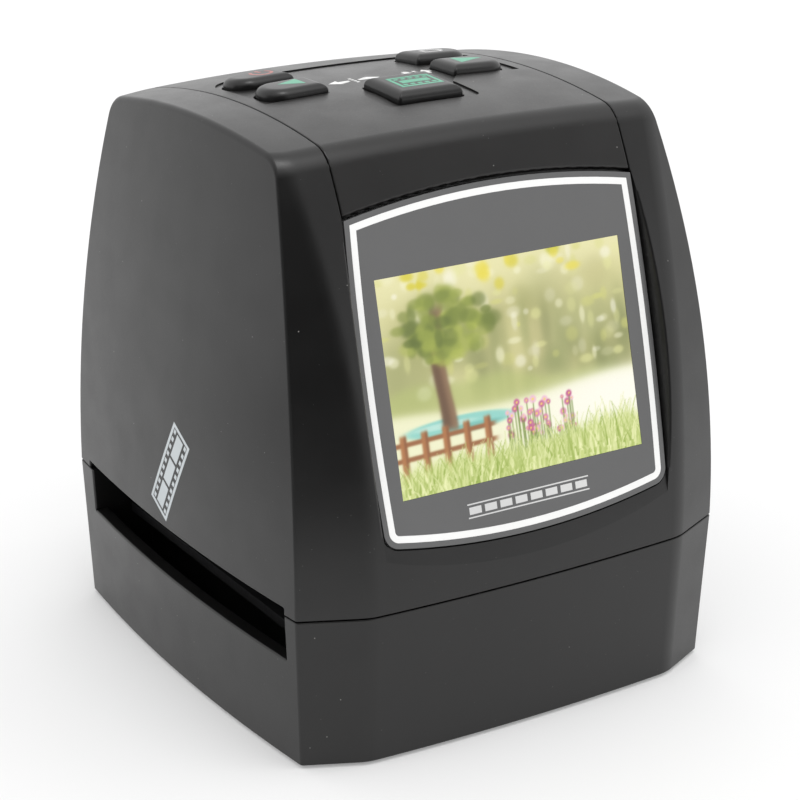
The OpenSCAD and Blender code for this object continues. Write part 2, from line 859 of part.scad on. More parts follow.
module cover_inside() {
    for (spot = cover_bosses)
        translate([spot[0], spot[1], button_board_z])
            cylinder(r = boss_r, h = body_h - button_board_z);
    // Hooks below the ledge
    for (sx = [-1, 1])
        for (hook = hooks) {
            translate([sx * hook_x - 0.5, hook[0] - 3, hook[1] - 1.2])
                cube([1, 6, 8]);
            translate([sx * hook_x - (sx > 0 ? 0.5 : 1.5), hook[0] - 3, hook[1] - 1.2])
                cube([2, 6, 1.2]);
        }
}

// Plan of the decorative grooves
module grooves() {
    // Behind the buttons, turning forward beside the right ones
    intersection() {
        difference() {
            groove_area(groove_w / 2);
            groove_area(-groove_w / 2);
        }
        translate([-groove_half, arrow_y - 4.4])
            square([body_w, body_d / 2]);
    }
    // Beside the scan button
    translate([scan_w / 2 + 2.9 - groove_w / 2, -scan_forward - 5.9])
        square([groove_w, 7.8]);
}

// Area in front of the long groove and to the left of its leg
module groove_area(grow) {
    side = groove_side + grow;
    rear = groove_y + grow;
    turn = groove_turn + grow;
    polygon([[-cover_w, -scan_d], [side, -scan_d], [side, rear - turn],
             [side - turn, rear], [-cover_w, rear]]);
    translate([side - turn, rear - turn])
        circle(r = turn + hair);
}

// ---------------------------------------------------------------- screen

module screen_bezel() {
    color([0.42, 0.43, 0.44])
        on_screen()
            difference() {
                bezel_prism(0, -bezel_t, 0);
                translate([-picture_w / 2, 0, -2 * bezel_t])
                    cube([picture_w, picture_h, 3 * bezel_t]);
                difference() {
                    bezel_prism(-trim_inset, -trim_depth, 1);
                    bezel_prism(-trim_inset - trim_w, -1, 2);
                }
            }
}

module bezel_trim() {
    color([0.95, 0.95, 0.95])
        on_screen()
            difference() {
                bezel_prism(-trim_inset - 0.02, -trim_depth, 0);
                bezel_prism(-trim_inset - trim_w + 0.02, -1, 1);
            }
}

module lcd_panel() {
    color([0.12, 0.16, 0.2])
        on_screen() {
            translate([-picture_w / 2 + 0.08, 0.08, -bezel_t])
                cube([picture_w - 0.16, picture_h - 0.16, bezel_t - 0.15]);
            translate([-display_half, display_low, -display_depth])
                cube([2 * display_half, display_high - display_low, display_t]);
        }
}

// Tray behind the display, screwed to the back of the screen's ledge
module lcd_frame() {
    color([0.2, 0.2, 0.21])
        on_screen()
            difference() {
                union() {
                    translate([-frame_half, frame_low, -frame_depth])
                        cube([2 * frame_half, frame_high - frame_low, frame_depth - ledge_depth]);
                    for (spot = board_spots)
                        translate([spot[0], spot[1], -board_depth])
                            cylinder(r = boss_r, h = board_depth - frame_depth + 1);
                }
                translate([-display_half - play, display_low - play, -display_depth])
                    cube([2 * (display_half + play), display_high - display_low + 2 * play,
                          display_t]);
                translate([-18, 6, -body_d])
                    cube([36, 24, 2 * body_d]);
                for (spot = lcd_spots)
                    translate([spot[0], spot[1], -frame_depth - 1])
                        cylinder(r = small_screw_r + fit, h = frame_depth);
                for (spot = board_spots)
                    translate([spot[0], spot[1], -board_depth - 1])
                        cylinder(r = small_screw_r + fit, h = 3.6);
            }
}

module lcd_screws() {
    color(metal_color)
        on_screen()
            for (spot = lcd_spots)
                translate([spot[0], spot[1], 0])
                    small_screw(-frame_depth, frame_depth - bezel_t - 0.4, true);
}

module main_board() {
    color(board_color)
        on_screen()
            difference() {
                translate([-board_half, board_low, -board_depth - board_t])
                    cube([2 * board_half, board_high - board_low, board_t]);
                for (spot = board_spots)
                    translate([spot[0], spot[1], -board_depth - 3])
                        cylinder(r = small_screw_r + fit, h = 4);
            }
}

// Processor, memory, flash and the connectors of the ribbon cables, on the board's rear
module board_chips() {
    color([0.08, 0.08, 0.09])
        on_screen()
            translate([0, 0, -board_depth - board_t])
                for (c = chips)
                    translate([c[0] - c[2] / 2, c[1] - c[3] / 2, -c[4]])
                        cube([c[2], c[3], c[4]]);
}

module board_screws() {
    color(metal_color)
        on_screen()
            for (spot = board_spots)
                translate([spot[0], spot[1], 0])
                    small_screw(-board_depth - board_t, board_t + 2.4, true);
}

// ---------------------------------------------------------------- buttons

// One push button: bevelled cap along the cover's slope, flange below the cover, stem
module push_button(b) {
    slope = asin((b[1] - crown_y) / crown_arc_r);
    lean = asin(b[0] / crown_plan_r);
    top = flange_top(b);
    color([0.15, 0.15, 0.155]) {
        translate([0, 0, top - flange_t])
            linear_extrude(flange_t)
                button_outline(b, flange_grow);
        hull($fn = 32) {
            translate([0, 0, top - flange_t / 2])
                linear_extrude(0.1)
                    button_outline(b);
            translate([b[0], b[1], crown_z(b[0], b[1])])
                rotate([-slope, lean, 0])
                    for (layer = cap_layers)
                        translate([-b[0], -b[1], button_rise * layer[0] - 0.05])
                            linear_extrude(0.05)
                                button_outline(b, -layer[1]);
        }
        translate([b[0], b[1], plunger_top])
            cylinder(r = stem_r, h = top - 0.7 * flange_t - plunger_top);
    }
}

// Lowest place of the cover's face round a button
function low_crown(b) = crown_z(abs(b[0]) + b[2] / 2,
    crown_y + abs(b[1] - crown_y) + b[3] / 2);
function flange_top(b) = low_crown(b) - cover_t - flange_gap;

module power_button() {
    push_button(power);
}

module mode_button() {
    push_button(mode);
}

module left_button() {
    push_button(left);
}

module right_button() {
    push_button(right);
}

module scan_button() {
    push_button(scan);
}

// Plunger of one tact switch
module plunger(b) {
    color([0.85, 0.83, 0.78])
        translate([b[0], b[1], switch_top - plunger_sunk])
            cylinder(r = plunger_r, h = plunger_sunk + plunger_rise);
}

module power_plunger() {
    plunger(power);
}

module mode_plunger() {
    plunger(mode);
}

module left_plunger() {
    plunger(left);
}

module right_plunger() {
    plunger(right);
}

module scan_plunger() {
    plunger(scan);
}

module button_board() {
    color(board_color)
        difference() {
            translate([-button_board_half, button_board_front, button_board_z - board_t])
                cube([2 * button_board_half, button_board_rear - button_board_front, board_t]);
            for (spot = cover_bosses)
                translate([spot[0], spot[1], 0])
                    small_bore(0, body_h);
        }
}

module tact_switches() {
    color([0.1, 0.1, 0.11])
        for (b = buttons)
            translate([b[0], b[1], 0])
                difference() {
                    block(6, 6, switch_h, button_board_z);
                    translate([0, 0, switch_top - plunger_sunk - press_travel - 0.3])
                        cylinder(r = plunger_r + 0.06, h = switch_h);
                }
}

module button_board_screws() {
    color(metal_color)
        for (spot = cover_bosses)
            translate([spot[0], spot[1], 0])
                small_screw(button_board_z - board_t, small_shank, true);
}

// ---------------------------------------------------------------- light from below

// Floor of the film channel, with the window of one film frame
module film_bed() {
    color([0.16, 0.16, 0.17])
        difference() {
            translate([-bed_half, -slot_front + play, bed_z])
                cube([2 * bed_half, channel_len - 2 * play, bed_t]);
            translate([0, film_y, 0])
                block(frame_w, frame_d, body_h, 0);
        }
}

module diffuser() {
    color([0.95, 0.95, 0.95])
        translate([0, film_y, 0])
            block(frame_w + 4, frame_d + 4, diffuser_t, diffuser_z);
}

module light_box() {
    color([0.9, 0.9, 0.9])
        translate([0, film_y, 0])
            difference() {
                block(box_w, box_d, diffuser_z - led_board_top, led_board_top);
                block(frame_w + 2, frame_d + 2, body_h, 0);
            }
}

module backlight_board() {
    color([0.9, 0.9, 0.88])
        translate([0, film_y, 0])
            block(box_w + 2, box_d + 2, board_t, backlight_z);
}

module backlight_leds() {
    color([0.98, 0.95, 0.7])
        for (x = [-12, 0, 12])
            for (y = [-6.5, 6.5])
                translate([x, film_y + y, 0])
                    block(3.5, 2.8, 0.8, led_board_top);
}

// ---------------------------------------------------------------- camera above the film

// Ceiling of the film channel: carries the light path and the socket board
module film_gate() {
    color([0.1, 0.1, 0.105])
        difference() {
            union() {
                translate([-gate_half, -slot_front - 1, gate_z])
                    cube([2 * gate_half, channel_len + 2, gate_t]);
                translate([-gate_ear_half, -slot_front - gate_ear, gate_z])
                    cube([2 * gate_ear_half, channel_len + 2 * gate_ear, gate_t]);
                for (spot = socket_spots)
                    translate([spot[0], spot[1], gate_z])
                        cylinder(r = boss_r, h = socket_board_z - board_t - gate_z);
            }
            translate([0, film_y, 0])
                block(frame_w + 1, frame_d + 1, body_h, 0);
            for (spot = post_spots)
                translate([spot[0], spot[1], 0])
                    cylinder(r = post_r + 0.4, h = body_h);
            for (spot = gate_spots)
                translate([spot[0], spot[1], 0])
                    small_bore(0, body_h);
            for (spot = hood_spots)
                translate([spot[0], spot[1], 0])
                    small_bore(0, body_h);
            for (spot = socket_spots)
                translate([spot[0], spot[1], 0])
                    small_bore(gate_top, body_h);
        }
}

module gate_screws() {
    color(metal_color)
        for (spot = gate_spots)
            translate([spot[0], spot[1], 0])
                small_screw(gate_top, small_shank + gate_t);
}

// Dark tapering tunnel between film gate and lens mount
module lens_hood() {
    color([0.07, 0.07, 0.075])
        translate([0, film_y, 0])
            difference() {
                union() {
                    block(hood_flange[0], hood_flange[1], hood_flange[2], gate_top);
                    translate([0, 0, gate_top])
                        tapered_block(hood_foot, [hood_head, hood_head], hood_top_z - gate_top);
                }
                translate([0, 0, gate_top - 0.2])
                    tapered_block([hood_foot[0] - 2 * hood_wall, hood_foot[1] - 2 * hood_wall],
                                  [hood_head - 2 * hood_wall, hood_head - 2 * hood_wall],
                                  hood_top_z - gate_top + 0.4);
                for (sx = [-1, 1])
                    for (sy = [-1, 1])
                        translate([sx * 25, sy * 16, 0])
                            small_bore(0, body_h);
            }
}

// Block that tapers evenly between two rectangles
module tapered_block(foot, head, h) {
    hull() {
        block(foot[0], foot[1], hair, 0);
        block(head[0], head[1], hair, h - hair);
    }
}

module hood_screws() {
    color(metal_color)
        for (spot = hood_spots)
            translate([spot[0], spot[1], 0])
                small_screw(gate_top + hood_flange[2], hood_flange[2] + gate_t - 0.3);
}

// Seat of the lens, with a collar and four pillars for the sensor board
module lens_mount() {
    color([0.1, 0.1, 0.105])
        difference() {
            union() {
                translate([0, film_y, 0])
                    block(mount_w, mount_w, mount_t, hood_top_z);
                translate([0, film_y, hood_top_z])
                    cylinder(r = barrel_r + 2.2, h = mount_t + collar_h);
                for (spot = sensor_spots)
                    translate([spot[0], spot[1], hood_top_z])
                        cylinder(r = 2, h = sensor_board_z - hood_top_z);
            }
            translate([0, film_y, 0])
                cylinder(r = barrel_r + fit, h = body_h);
            for (spot = sensor_spots)
                translate([spot[0], spot[1], 0])
                    small_bore(sensor_board_z - small_shank, body_h);
        }
}

module lens_barrel() {
    color([0.15, 0.15, 0.155])
        translate([0, film_y, 0])
            difference() {
                union() {
                    translate([0, 0, barrel_low])
                        cylinder(r = barrel_r, h = barrel_top - barrel_low);
                    translate([0, 0, barrel_low])
                        cylinder(r = barrel_r + 1, h = hood_top_z - barrel_low);
                }
                cylinder(r = barrel_r - 2, h = body_h);
                cylinder(r = glass_r + 0.02, h = barrel_low + glass_t + 0.7);
                translate([0, 0, barrel_top - glass_t])
                    cylinder(r = glass_r + 0.02, h = body_h);
            }
}

// Front and rear lens of the barrel
module lens_glasses() {
    color([0.55, 0.65, 0.7, 0.6])
        translate([0, film_y, 0]) {
            translate([0, 0, barrel_low + 0.7])
                cylinder(r = glass_r, h = glass_t);
            translate([0, 0, barrel_top - glass_t])
                cylinder(r = glass_r, h = glass_t);
        }
}

module sensor_board() {
    color(board_color)
        difference() {
            translate([0, film_y, 0])
                block(mount_w + 3, mount_w + 3, board_t, sensor_board_z);
            for (spot = sensor_spots)
                translate([spot[0], spot[1], 0])
                    small_bore(0, body_h);
        }
}

module image_sensor() {
    color([0.2, 0.25, 0.35])
        translate([0, film_y, 0])
            block(9, 7, 1.2, sensor_board_z - 1.2);
}

module sensor_screws() {
    color(metal_color)
        for (spot = sensor_spots)
            translate([spot[0], spot[1], 0])
                small_screw(sensor_board_z + board_t, small_shank);
}

// ---------------------------------------------------------------- sockets at the rear

module socket_board() {
    color(board_color)
        difference() {
            translate([-socket_board[0] / 2, socket_board_y, socket_board_z - board_t])
                cube([socket_board[0], socket_board[1], board_t]);
            for (spot = socket_spots)
                translate([spot[0], spot[1], 0])
                    small_bore(0, body_h);
        }
}

module socket_board_screws() {
    color(metal_color)
        for (spot = socket_spots)
            translate([spot[0], spot[1], 0])
                small_screw(socket_board_z, small_shank);
}

module usb_socket() {
    color(metal_color)
        translate([usb_x, socket_mouth_y - usb_size[1], socket_board_z])
            difference() {
                translate([-usb_size[0] / 2, 0, 0])
                    cube(usb_size);
                translate([-usb_size[0] / 2 + 0.4, 1.5, 0.4])
                    cube([usb_size[0] - 0.8, usb_size[1], usb_size[2] - 0.8]);
            }
    color([0.1, 0.1, 0.1])
        translate([usb_x - 2.6, socket_mouth_y - usb_size[1] + 1.4, socket_board_z + 1.5])
            cube([5.2, usb_size[1] - 2.4, 1]);
}

module av_jack() {
    color([0.12, 0.12, 0.12])
        difference() {
            union() {
                translate([jack_x - 3.4, socket_mouth_y - 12, socket_board_z])
                    cube([6.8, 8.6, 6.4]);
                translate([jack_x, socket_mouth_y - 4, jack_z])
                    rotate([-90, 0, 0])
                        cylinder(r = jack_r, h = 4);
            }
            translate([jack_x, socket_mouth_y - 10, jack_z])
                rotate([-90, 0, 0])
                    cylinder(r = 1.8, h = 20);
        }
}

module card_socket() {
    color(metal_color)
        translate([card_x, socket_mouth_y - card_size[1], socket_board_z])
            difference() {
                translate([-card_size[0] / 2, 0, 0])
                    cube(card_size);
                translate([-card_slot[0] / 2, 2, (card_size[2] - card_slot[1]) / 2])
                    cube([card_slot[0], card_size[1], card_slot[1]]);
            }
}

// ---------------------------------------------------------------- small parts

// Bowed leaf in the channel's rear wall, on which the film holder clicks
module holder_spring() {
    bow_r = (pow(spring_half, 2) + pow(spring_bow, 2)) / (2 * spring_bow);
    color(metal_color)
        intersection() {
            translate([0, slot_rear + spring_sunk - spring_bow + bow_r, spring_z])
                difference() {
                    cylinder(r = bow_r, h = spring_h, $fn = arc_fn);
                    translate([0, 0, -1])
                        cylinder(r = bow_r - 0.3, h = spring_h + 2, $fn = arc_fn);
                }
            translate([-spring_half, 0, 0])
                cube([2 * spring_half, slot_rear + spring_sunk, body_h]);
        }
}

module rubber_feet() {
    color([0.05, 0.05, 0.05])
        for (spot = foot_spots)
            translate([spot[0], spot[1], 0])
                cylinder(r = foot_r, h = foot_stand + foot_sunk);
}

// Four long screws from below into the upper housing's pillars
module housing_screws() {
    head_z = foot_stand + head_depth;
    color(metal_color)
        for (spot = post_spots)
            translate([spot[0], spot[1], 0])
                difference() {
                    union() {
                        translate([0, 0, head_z - head_t])
                            cylinder(r = head_r, h = head_t);
                        translate([0, 0, head_z])
                            cylinder(r = screw_r, h = screw_top - head_z);
                    }
                    for (turn = [0, 90])
                        rotate([0, 0, turn])
                            block(3, 0.6, 2, head_z - head_t - 1);
                }
}

base_housing();
upper_housing();
top_cover();
screen_bezel();
bezel_trim();
lcd_panel();
lcd_frame();
lcd_screws();
main_board();
board_chips();
board_screws();
power_button();
mode_button();
left_button();
right_button();
scan_button();
power_plunger();
mode_plunger();
left_plunger();
right_plunger();
scan_plunger();
button_board();
tact_switches();
button_board_screws();
film_bed();
diffuser();
light_box();
backlight_board();
backlight_leds();
film_gate();
gate_screws();
lens_hood();
hood_screws();
lens_mount();
lens_barrel();
lens_glasses();
sensor_board();
image_sensor();
sensor_screws();
socket_board();
socket_board_screws();
usb_socket();
av_jack();
card_socket();
holder_spring();
rubber_feet();
housing_screws();
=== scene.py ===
# Looks of the film negative scanner: fine skins for the housings and buttons, the display's
# picture, printed marks and materials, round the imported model. Lengths are in millimetres
# until a mesh is made.
import json
import math

import bmesh
import bpy
import numpy as np
from mathutils import Matrix, Vector
from mathutils.bvhtree import BVHTree
from mathutils.interpolate import poly_3d_calc


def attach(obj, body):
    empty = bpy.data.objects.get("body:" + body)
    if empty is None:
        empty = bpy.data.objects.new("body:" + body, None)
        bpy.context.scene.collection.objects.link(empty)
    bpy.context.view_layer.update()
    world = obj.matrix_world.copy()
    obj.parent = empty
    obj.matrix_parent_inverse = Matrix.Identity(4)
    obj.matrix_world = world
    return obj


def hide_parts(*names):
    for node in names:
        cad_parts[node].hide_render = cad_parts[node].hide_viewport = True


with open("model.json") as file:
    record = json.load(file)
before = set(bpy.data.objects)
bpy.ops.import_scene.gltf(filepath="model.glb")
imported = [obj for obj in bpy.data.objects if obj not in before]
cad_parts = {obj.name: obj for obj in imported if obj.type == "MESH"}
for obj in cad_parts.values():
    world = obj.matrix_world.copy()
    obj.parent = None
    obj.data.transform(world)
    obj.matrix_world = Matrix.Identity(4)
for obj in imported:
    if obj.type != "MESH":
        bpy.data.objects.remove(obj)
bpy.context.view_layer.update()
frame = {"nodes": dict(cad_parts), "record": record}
MM = 0.001

# ------------------------------------------------------------------ sizes
# They are those of part.scad. Finer than there, as the photo shows them, are the arcs of the sides
# and of the corner facets, the places and sizes of the caps, the sunk panel and the shelf.

BODY_W, BODY_D, BODY_H = 90.95, 95.77, 105.1
SEAM, STAND, DRAFT, WALL, REVEAL = 28.1, 0.6, 1.2, 2.5, 0.25
FLOOR_Z = STAND + 2.5
SIDE_PLAN, SIDE_ARC = 380.0, 390.0
END_PLAN = 450.0
END_ARC = {-1: 150.0, 1: 275.0}
CROWN_ARC, CROWN_PLAN, CROWN_Y = 165.0, 500.0, -2.3
CORNER, CORNER_CUT = math.radians(25.0), 15.2
CORNER_ARC = {-1: 176.0, 1: 280.0}
CORNER_IN = {-1: 0.3, 1: 0.0}
CORNER_REACH = (BODY_W / 2 - CORNER_CUT) * math.sin(CORNER) + BODY_D / 2 * math.cos(CORNER)
TOP_R = {-1: 6.0, 1: 5.5}
SOFT_R, SHARP_R, TOP_SHARP_R = 9.0, 0.8, 1.2
COVER_W, COVER_T, COVER_LAP, COVER_REAR, COVER_GAP = 57.6, 1.5, 2.0, 92.0, 0.2
TILT = math.radians(90 - 14.66)
SCREEN_Y, SCREEN_Z = -44.57, 46.58
PIC_W, PIC_H = 48.96, 36.72
BEZEL_HALF, BEZEL_TOP, BEZEL_DROP = 29.4, 49.7, 10.1
SIDE_R, TOP_EDGE_R, BOTTOM_R, BEZEL_CORNER = 500.0, 151.0, 140.0, 3.0
BEZEL_T, BEZEL_GAP, FLARE = 1.8, 0.35, 0.3
SLOT_FRONT, SLOT_REAR, SLOT_FLOOR, SLOT_HEAD, SLOT_NOTCH = -38.0, 35.5, 19.7, 29.3, 1.3
POST = (34.2, (CORNER_REACH - 5.3 - 34.2 * math.sin(CORNER)) / math.cos(CORNER))
BUTTONS = {
    "power": (-18.9, 14.2, 11.6, 8.2, -1),
    "mode": (18.1, 14.2, 11.6, 8.2, 1),
    "left": (-18.9, 2.3, 11.6, 8.4, -1),
    "right": (18.1, 2.1, 11.6, 8.6, 1),
    "scan": (0.0, -7.9, 13.0, 12.2, 0),
}
BUTTON_RISE, BUTTON_GAP, BUTTON_R, BUTTON_OUTER_R = 1.5, 0.25, 0.6, 3.9
BEVEL, CAP_FOOT, CAP_CROWN = 1.75, 0.15, 0.06
STEM = {"power": (-18.5, 14.2), "mode": (18.5, 14.2), "left": (-18.5, 2.1), "right": (18.5, 2.1),
        "scan": (0.0, -7.9)}
PANEL_SUNK, SHELF = 0.3, 0.3
BEZEL_MIDDLE = (BEZEL_TOP - BEZEL_DROP) / 2 - 1.3
BORE_R, PILOT_R, SCREW_X, SCREW_OUT = 1.35, 0.85, 20, 2.4
CHANNEL_WALL, CLEAR_OF_SEAM = 2.0, 0.21
# How finely the rounded edges are made, and where the lines of a side meet below its top
ARCS, EDGE_STEPS, SIDE_TOP = 10, 6, 84.0
BOTH = (-1, 1)
CORNERS = [(sx, sy) for sx in BOTH for sy in BOTH]


# ------------------------------------------------------------------ outer form

def unit(v):
    n = math.sqrt(sum(c * c for c in v))
    return [c / n for c in v]


def faces_at(z, inset, base):
    """Radii and reaches of the end faces, corner facets and sides at a height, with the lean of
    each normal. Ends are -1 (front) and 1 (rear)."""
    out = {}
    if base:
        part = (SEAM - z) / (SEAM - STAND)
        lean = -math.atan(DRAFT / (SEAM - STAND))
        for end in BOTH:
            out[end] = (END_PLAN - inset - DRAFT * part, lean,
                        CORNER_REACH - CORNER_IN[end] - inset - DRAFT * part, lean)
        out["side"] = (SIDE_PLAN - inset - DRAFT * part, lean)
        return out
    dz = z - SEAM
    for end in BOTH:
        arc, corner = END_ARC[end] - inset, CORNER_ARC[end] - inset
        facet = CORNER_REACH - CORNER_IN[end] - CORNER_ARC[end]
        out[end] = (END_PLAN - END_ARC[end] + math.sqrt(arc * arc - dz * dz), math.asin(dz / arc),
                    facet + math.sqrt(corner * corner - dz * dz), math.asin(dz / corner))
    arc = SIDE_ARC - inset
    out["side"] = (SIDE_PLAN - SIDE_ARC + math.sqrt(arc * arc - dz * dz), math.asin(dz / arc))
    return out


FACET_N, FACET_T = (math.sin(CORNER), math.cos(CORNER)), (math.cos(CORNER), -math.sin(CORNER))
END_CENTRE, SIDE_CENTRE = (0.0, BODY_D / 2 - END_PLAN), (BODY_W / 2 - SIDE_PLAN, 0.0)


def edge_centre(reach, centre, radius, r, sign):
    """Centre of an edge of radius r between a corner facet and a face round the given centre, and
    its angle as seen from there."""
    n, t = FACET_N, FACET_T
    px, py = n[0] * (reach - r) - centre[0], n[1] * (reach - r) - centre[1]
    b = px * t[0] + py * t[1]
    k = -b + sign * math.sqrt(b * b - (px * px + py * py - (radius - r) * (radius - r)))
    c = (n[0] * (reach - r) + t[0] * k, n[1] * (reach - r) + t[1] * k)
    return c, math.atan2(c[0] - centre[0], c[1] - centre[1])


def base_point(end, seg, f, z, inset, r1, r2):
    """A point of the base's quadrant to the right of the given end, and its normal. seg is 0 for the
    end face, 1 its soft edge, 2 the corner facet, 3 the sharp edge, 4 the side; f runs along it."""
    s = faces_at(z, inset, True)
    rho, lean_e, reach, lean_f = s[end]
    rho_s, lean_s = s["side"]
    c1, a1 = edge_centre(reach, END_CENTRE, rho, r1, -1)
    c2, a2 = edge_centre(reach, SIDE_CENTRE, rho_s, r2, 1)
    if seg == 2:
        p1, p2 = [(c[0] + FACET_N[0] * r, c[1] + FACET_N[1] * r) for c, r in ((c1, r1), (c2, r2))]
        p = (p1[0] + (p2[0] - p1[0]) * f, p1[1] + (p2[1] - p1[1]) * f)
        h, lean = FACET_N, lean_f
    else:
        c, r, a0, a1, lean0, lean1 = {
            0: (END_CENTRE, rho, 0.0, a1, lean_e, lean_e),
            1: (c1, r1, a1, CORNER, lean_e, lean_f),
            3: (c2, r2, CORNER, a2, lean_f, lean_s),
            4: (SIDE_CENTRE, rho_s, a2, math.pi / 2, lean_s, lean_s)}[seg]
        a, lean = a0 + (a1 - a0) * f, lean0 + (lean1 - lean0) * f
        p = (c[0] + r * math.sin(a), c[1] + r * math.cos(a))
        h = (math.sin(a), math.cos(a))
    return ((p[0], end * p[1], z),
            (h[0] * math.cos(lean), end * h[1] * math.cos(lean), math.sin(lean)))


def walk(end, u, z, inset):
    """A point and normal of the upper end face's course at a height. u runs over the end face (0 to
    1), its soft edge (1 to 2) and the corner facet (2 and on)."""
    rho, lean_e, reach, lean_f = faces_at(z, inset, False)[end]
    r = max(SOFT_R - inset, 0.5)
    c, a1 = edge_centre(reach, END_CENTRE, rho, r, -1)
    if u <= 1:
        a = a1 * u
        p, lean = (rho * math.sin(a), END_CENTRE[1] + rho * math.cos(a)), lean_e
        h = (math.sin(a), math.cos(a))
    elif u <= 2:
        a = a1 + (CORNER - a1) * (u - 1)
        p, lean = (c[0] + r * math.sin(a), c[1] + r * math.cos(a)), lean_e + (lean_f - lean_e) * (u - 1)
        h = (math.sin(a), math.cos(a))
    else:
        d = (u - 2) * 15
        p = (c[0] + FACET_N[0] * r + FACET_T[0] * d, c[1] + FACET_N[1] * r + FACET_T[1] * d)
        h, lean = FACET_N, lean_f
    return ([p[0], end * p[1], z],
            [h[0] * math.cos(lean), end * h[1] * math.cos(lean), math.sin(lean)])


def crown_z(x, y, inset=0.0):
    """Height of the crown."""
    rho = CROWN_ARC - CROWN_PLAN + math.sqrt((CROWN_PLAN - inset) ** 2 - x * x)
    return BODY_H - CROWN_ARC + math.sqrt(rho * rho - (y - CROWN_Y) ** 2)


def crown_normal(x, y):
    rho = CROWN_ARC - CROWN_PLAN + math.sqrt(CROWN_PLAN ** 2 - x * x)
    s, q = (y - CROWN_Y) / rho, x / CROWN_PLAN
    return unit((q, s * math.sqrt(1 - q * q), math.sqrt(1 - s * s) * math.sqrt(1 - q * q)))


def side_rho(z, inset):
    return SIDE_PLAN - SIDE_ARC + math.sqrt((SIDE_ARC - inset) ** 2 - (z - SEAM) ** 2)


def side_at(y, z, inset):
    """Point and normal of the right side."""
    rho = side_rho(z, inset)
    q, lean = y / rho, math.asin((z - SEAM) / (SIDE_ARC - inset))
    h = math.sqrt(1 - q * q)
    return ([BODY_W / 2 - SIDE_PLAN + rho * h, y, z],
            [h * math.cos(lean), q * math.cos(lean), math.sin(lean)])


def dot(a, b):
    return a[0] * b[0] + a[1] * b[1] + a[2] * b[2]


def turn_between(n0, n1, f):
    theta = math.acos(max(-1.0, min(1.0, dot(n0, n1))))
    if theta < 1e-5:
        return n1
    w0, w1 = math.sin(theta * (1 - f)) / math.sin(theta), math.sin(theta * f) / math.sin(theta)
    return unit([w0 * a + w1 * b for a, b in zip(n0, n1)])


def bisect(low, high, is_low, steps):
    """Where is_low, true at low and false at high, turns."""
    for _ in range(steps):
        middle = (low + high) / 2
        if is_low(middle):
            low = middle
        else:
            high = middle
    return low


def rounded(corner, r, n0, n1, start, finish, steps):
    """Points and normals round an edge of radius r, whose faces have the normals n0 and n1 and would
    meet at corner; eased so that they begin and end at the (point, normal) of start and finish."""
    spread = 1 + dot(n0, n1)
    c = [corner[i] - (n0[i] + n1[i]) * r / spread for i in range(3)]
    slip0 = [start[0][i] - (c[i] + r * n0[i]) for i in range(3)]
    slip1 = [finish[0][i] - (c[i] + r * n1[i]) for i in range(3)]
    out = []
    for k in range(steps + 1):
        f = k / steps
        n = turn_between(n0, n1, f)
        g = f * f * (3 - 2 * f)
        out.append(([c[i] + r * n[i] + slip0[i] * (1 - g) + slip1[i] * g for i in range(3)],
                    turn_between(start[1], finish[1], f)))
    return out


top_edges = {}


def top_edge(end, u, inset):
    """The rounded edge between an end face and the crown at u: its points and normals, from the
    wall to the crown. Each is worked out once and kept in top_edges."""
    key = (end, round(u, 7), inset)
    if key in top_edges:
        return top_edges[key]

    def below_crown(z):
        p = walk(end, u, z, inset)[0]
        return z < crown_z(p[0], p[1], inset)

    z = bisect(SEAM + 30, BODY_H, below_crown, 36)
    p, nw = walk(end, u, z, inset)
    nc = crown_normal(p[0], p[1])
    r = max(TOP_R[end] - inset, 0.5)
    cos = dot(nw, nc)
    reach = r * math.tan(math.acos(cos) / 2)
    down = unit([cos * a - b for a, b in zip(nw, nc)])
    along = unit([cos * b - a for a, b in zip(nw, nc)])
    pc = [p[i] + along[i] * reach for i in range(3)]
    pc[2] = crown_z(pc[0], pc[1], inset)
    top_edges[key] = rounded(p, r, nw, nc, walk(end, u, z + reach * down[2], inset),
                             (pc, crown_normal(pc[0], pc[1])), ARCS)
    return top_edges[key]


def upper_shape(inset, low, walls, crowns):
    """Row functions of the upper form from the front's foot over the crown to the rear's foot, each
    of which takes u and gives a point and a normal, and the number of the middle row."""
    rows = []
    for end in BOTH:
        half = []
        for k in range(walls):
            f = k / walls

            def wall(u, f=f, end=end):
                top = top_edge(end, u, inset)[0][0][2]
                return walk(end, u, low + (top - low) * f, inset)
            half.append(wall)
        for k in range(ARCS + 1):
            half.append(lambda u, k=k, end=end: top_edge(end, u, inset)[k])
        for k in range(1, crowns + (end < 0)):
            def crown(u, k=k, end=end):
                a, b = (top_edge(e, u, inset)[ARCS][0] for e in (end, -end))
                m = [(a[0] + b[0]) / 2, 0.0]
                x, y = a[0] + (m[0] - a[0]) * k / crowns, a[1] * (1 - k / crowns)
                return [x, y, crown_z(x, y, inset)], crown_normal(x, y)
            half.append(crown)
        rows.append(half)
    return rows[0] + rows[1][::-1], len(rows[0]) - 1


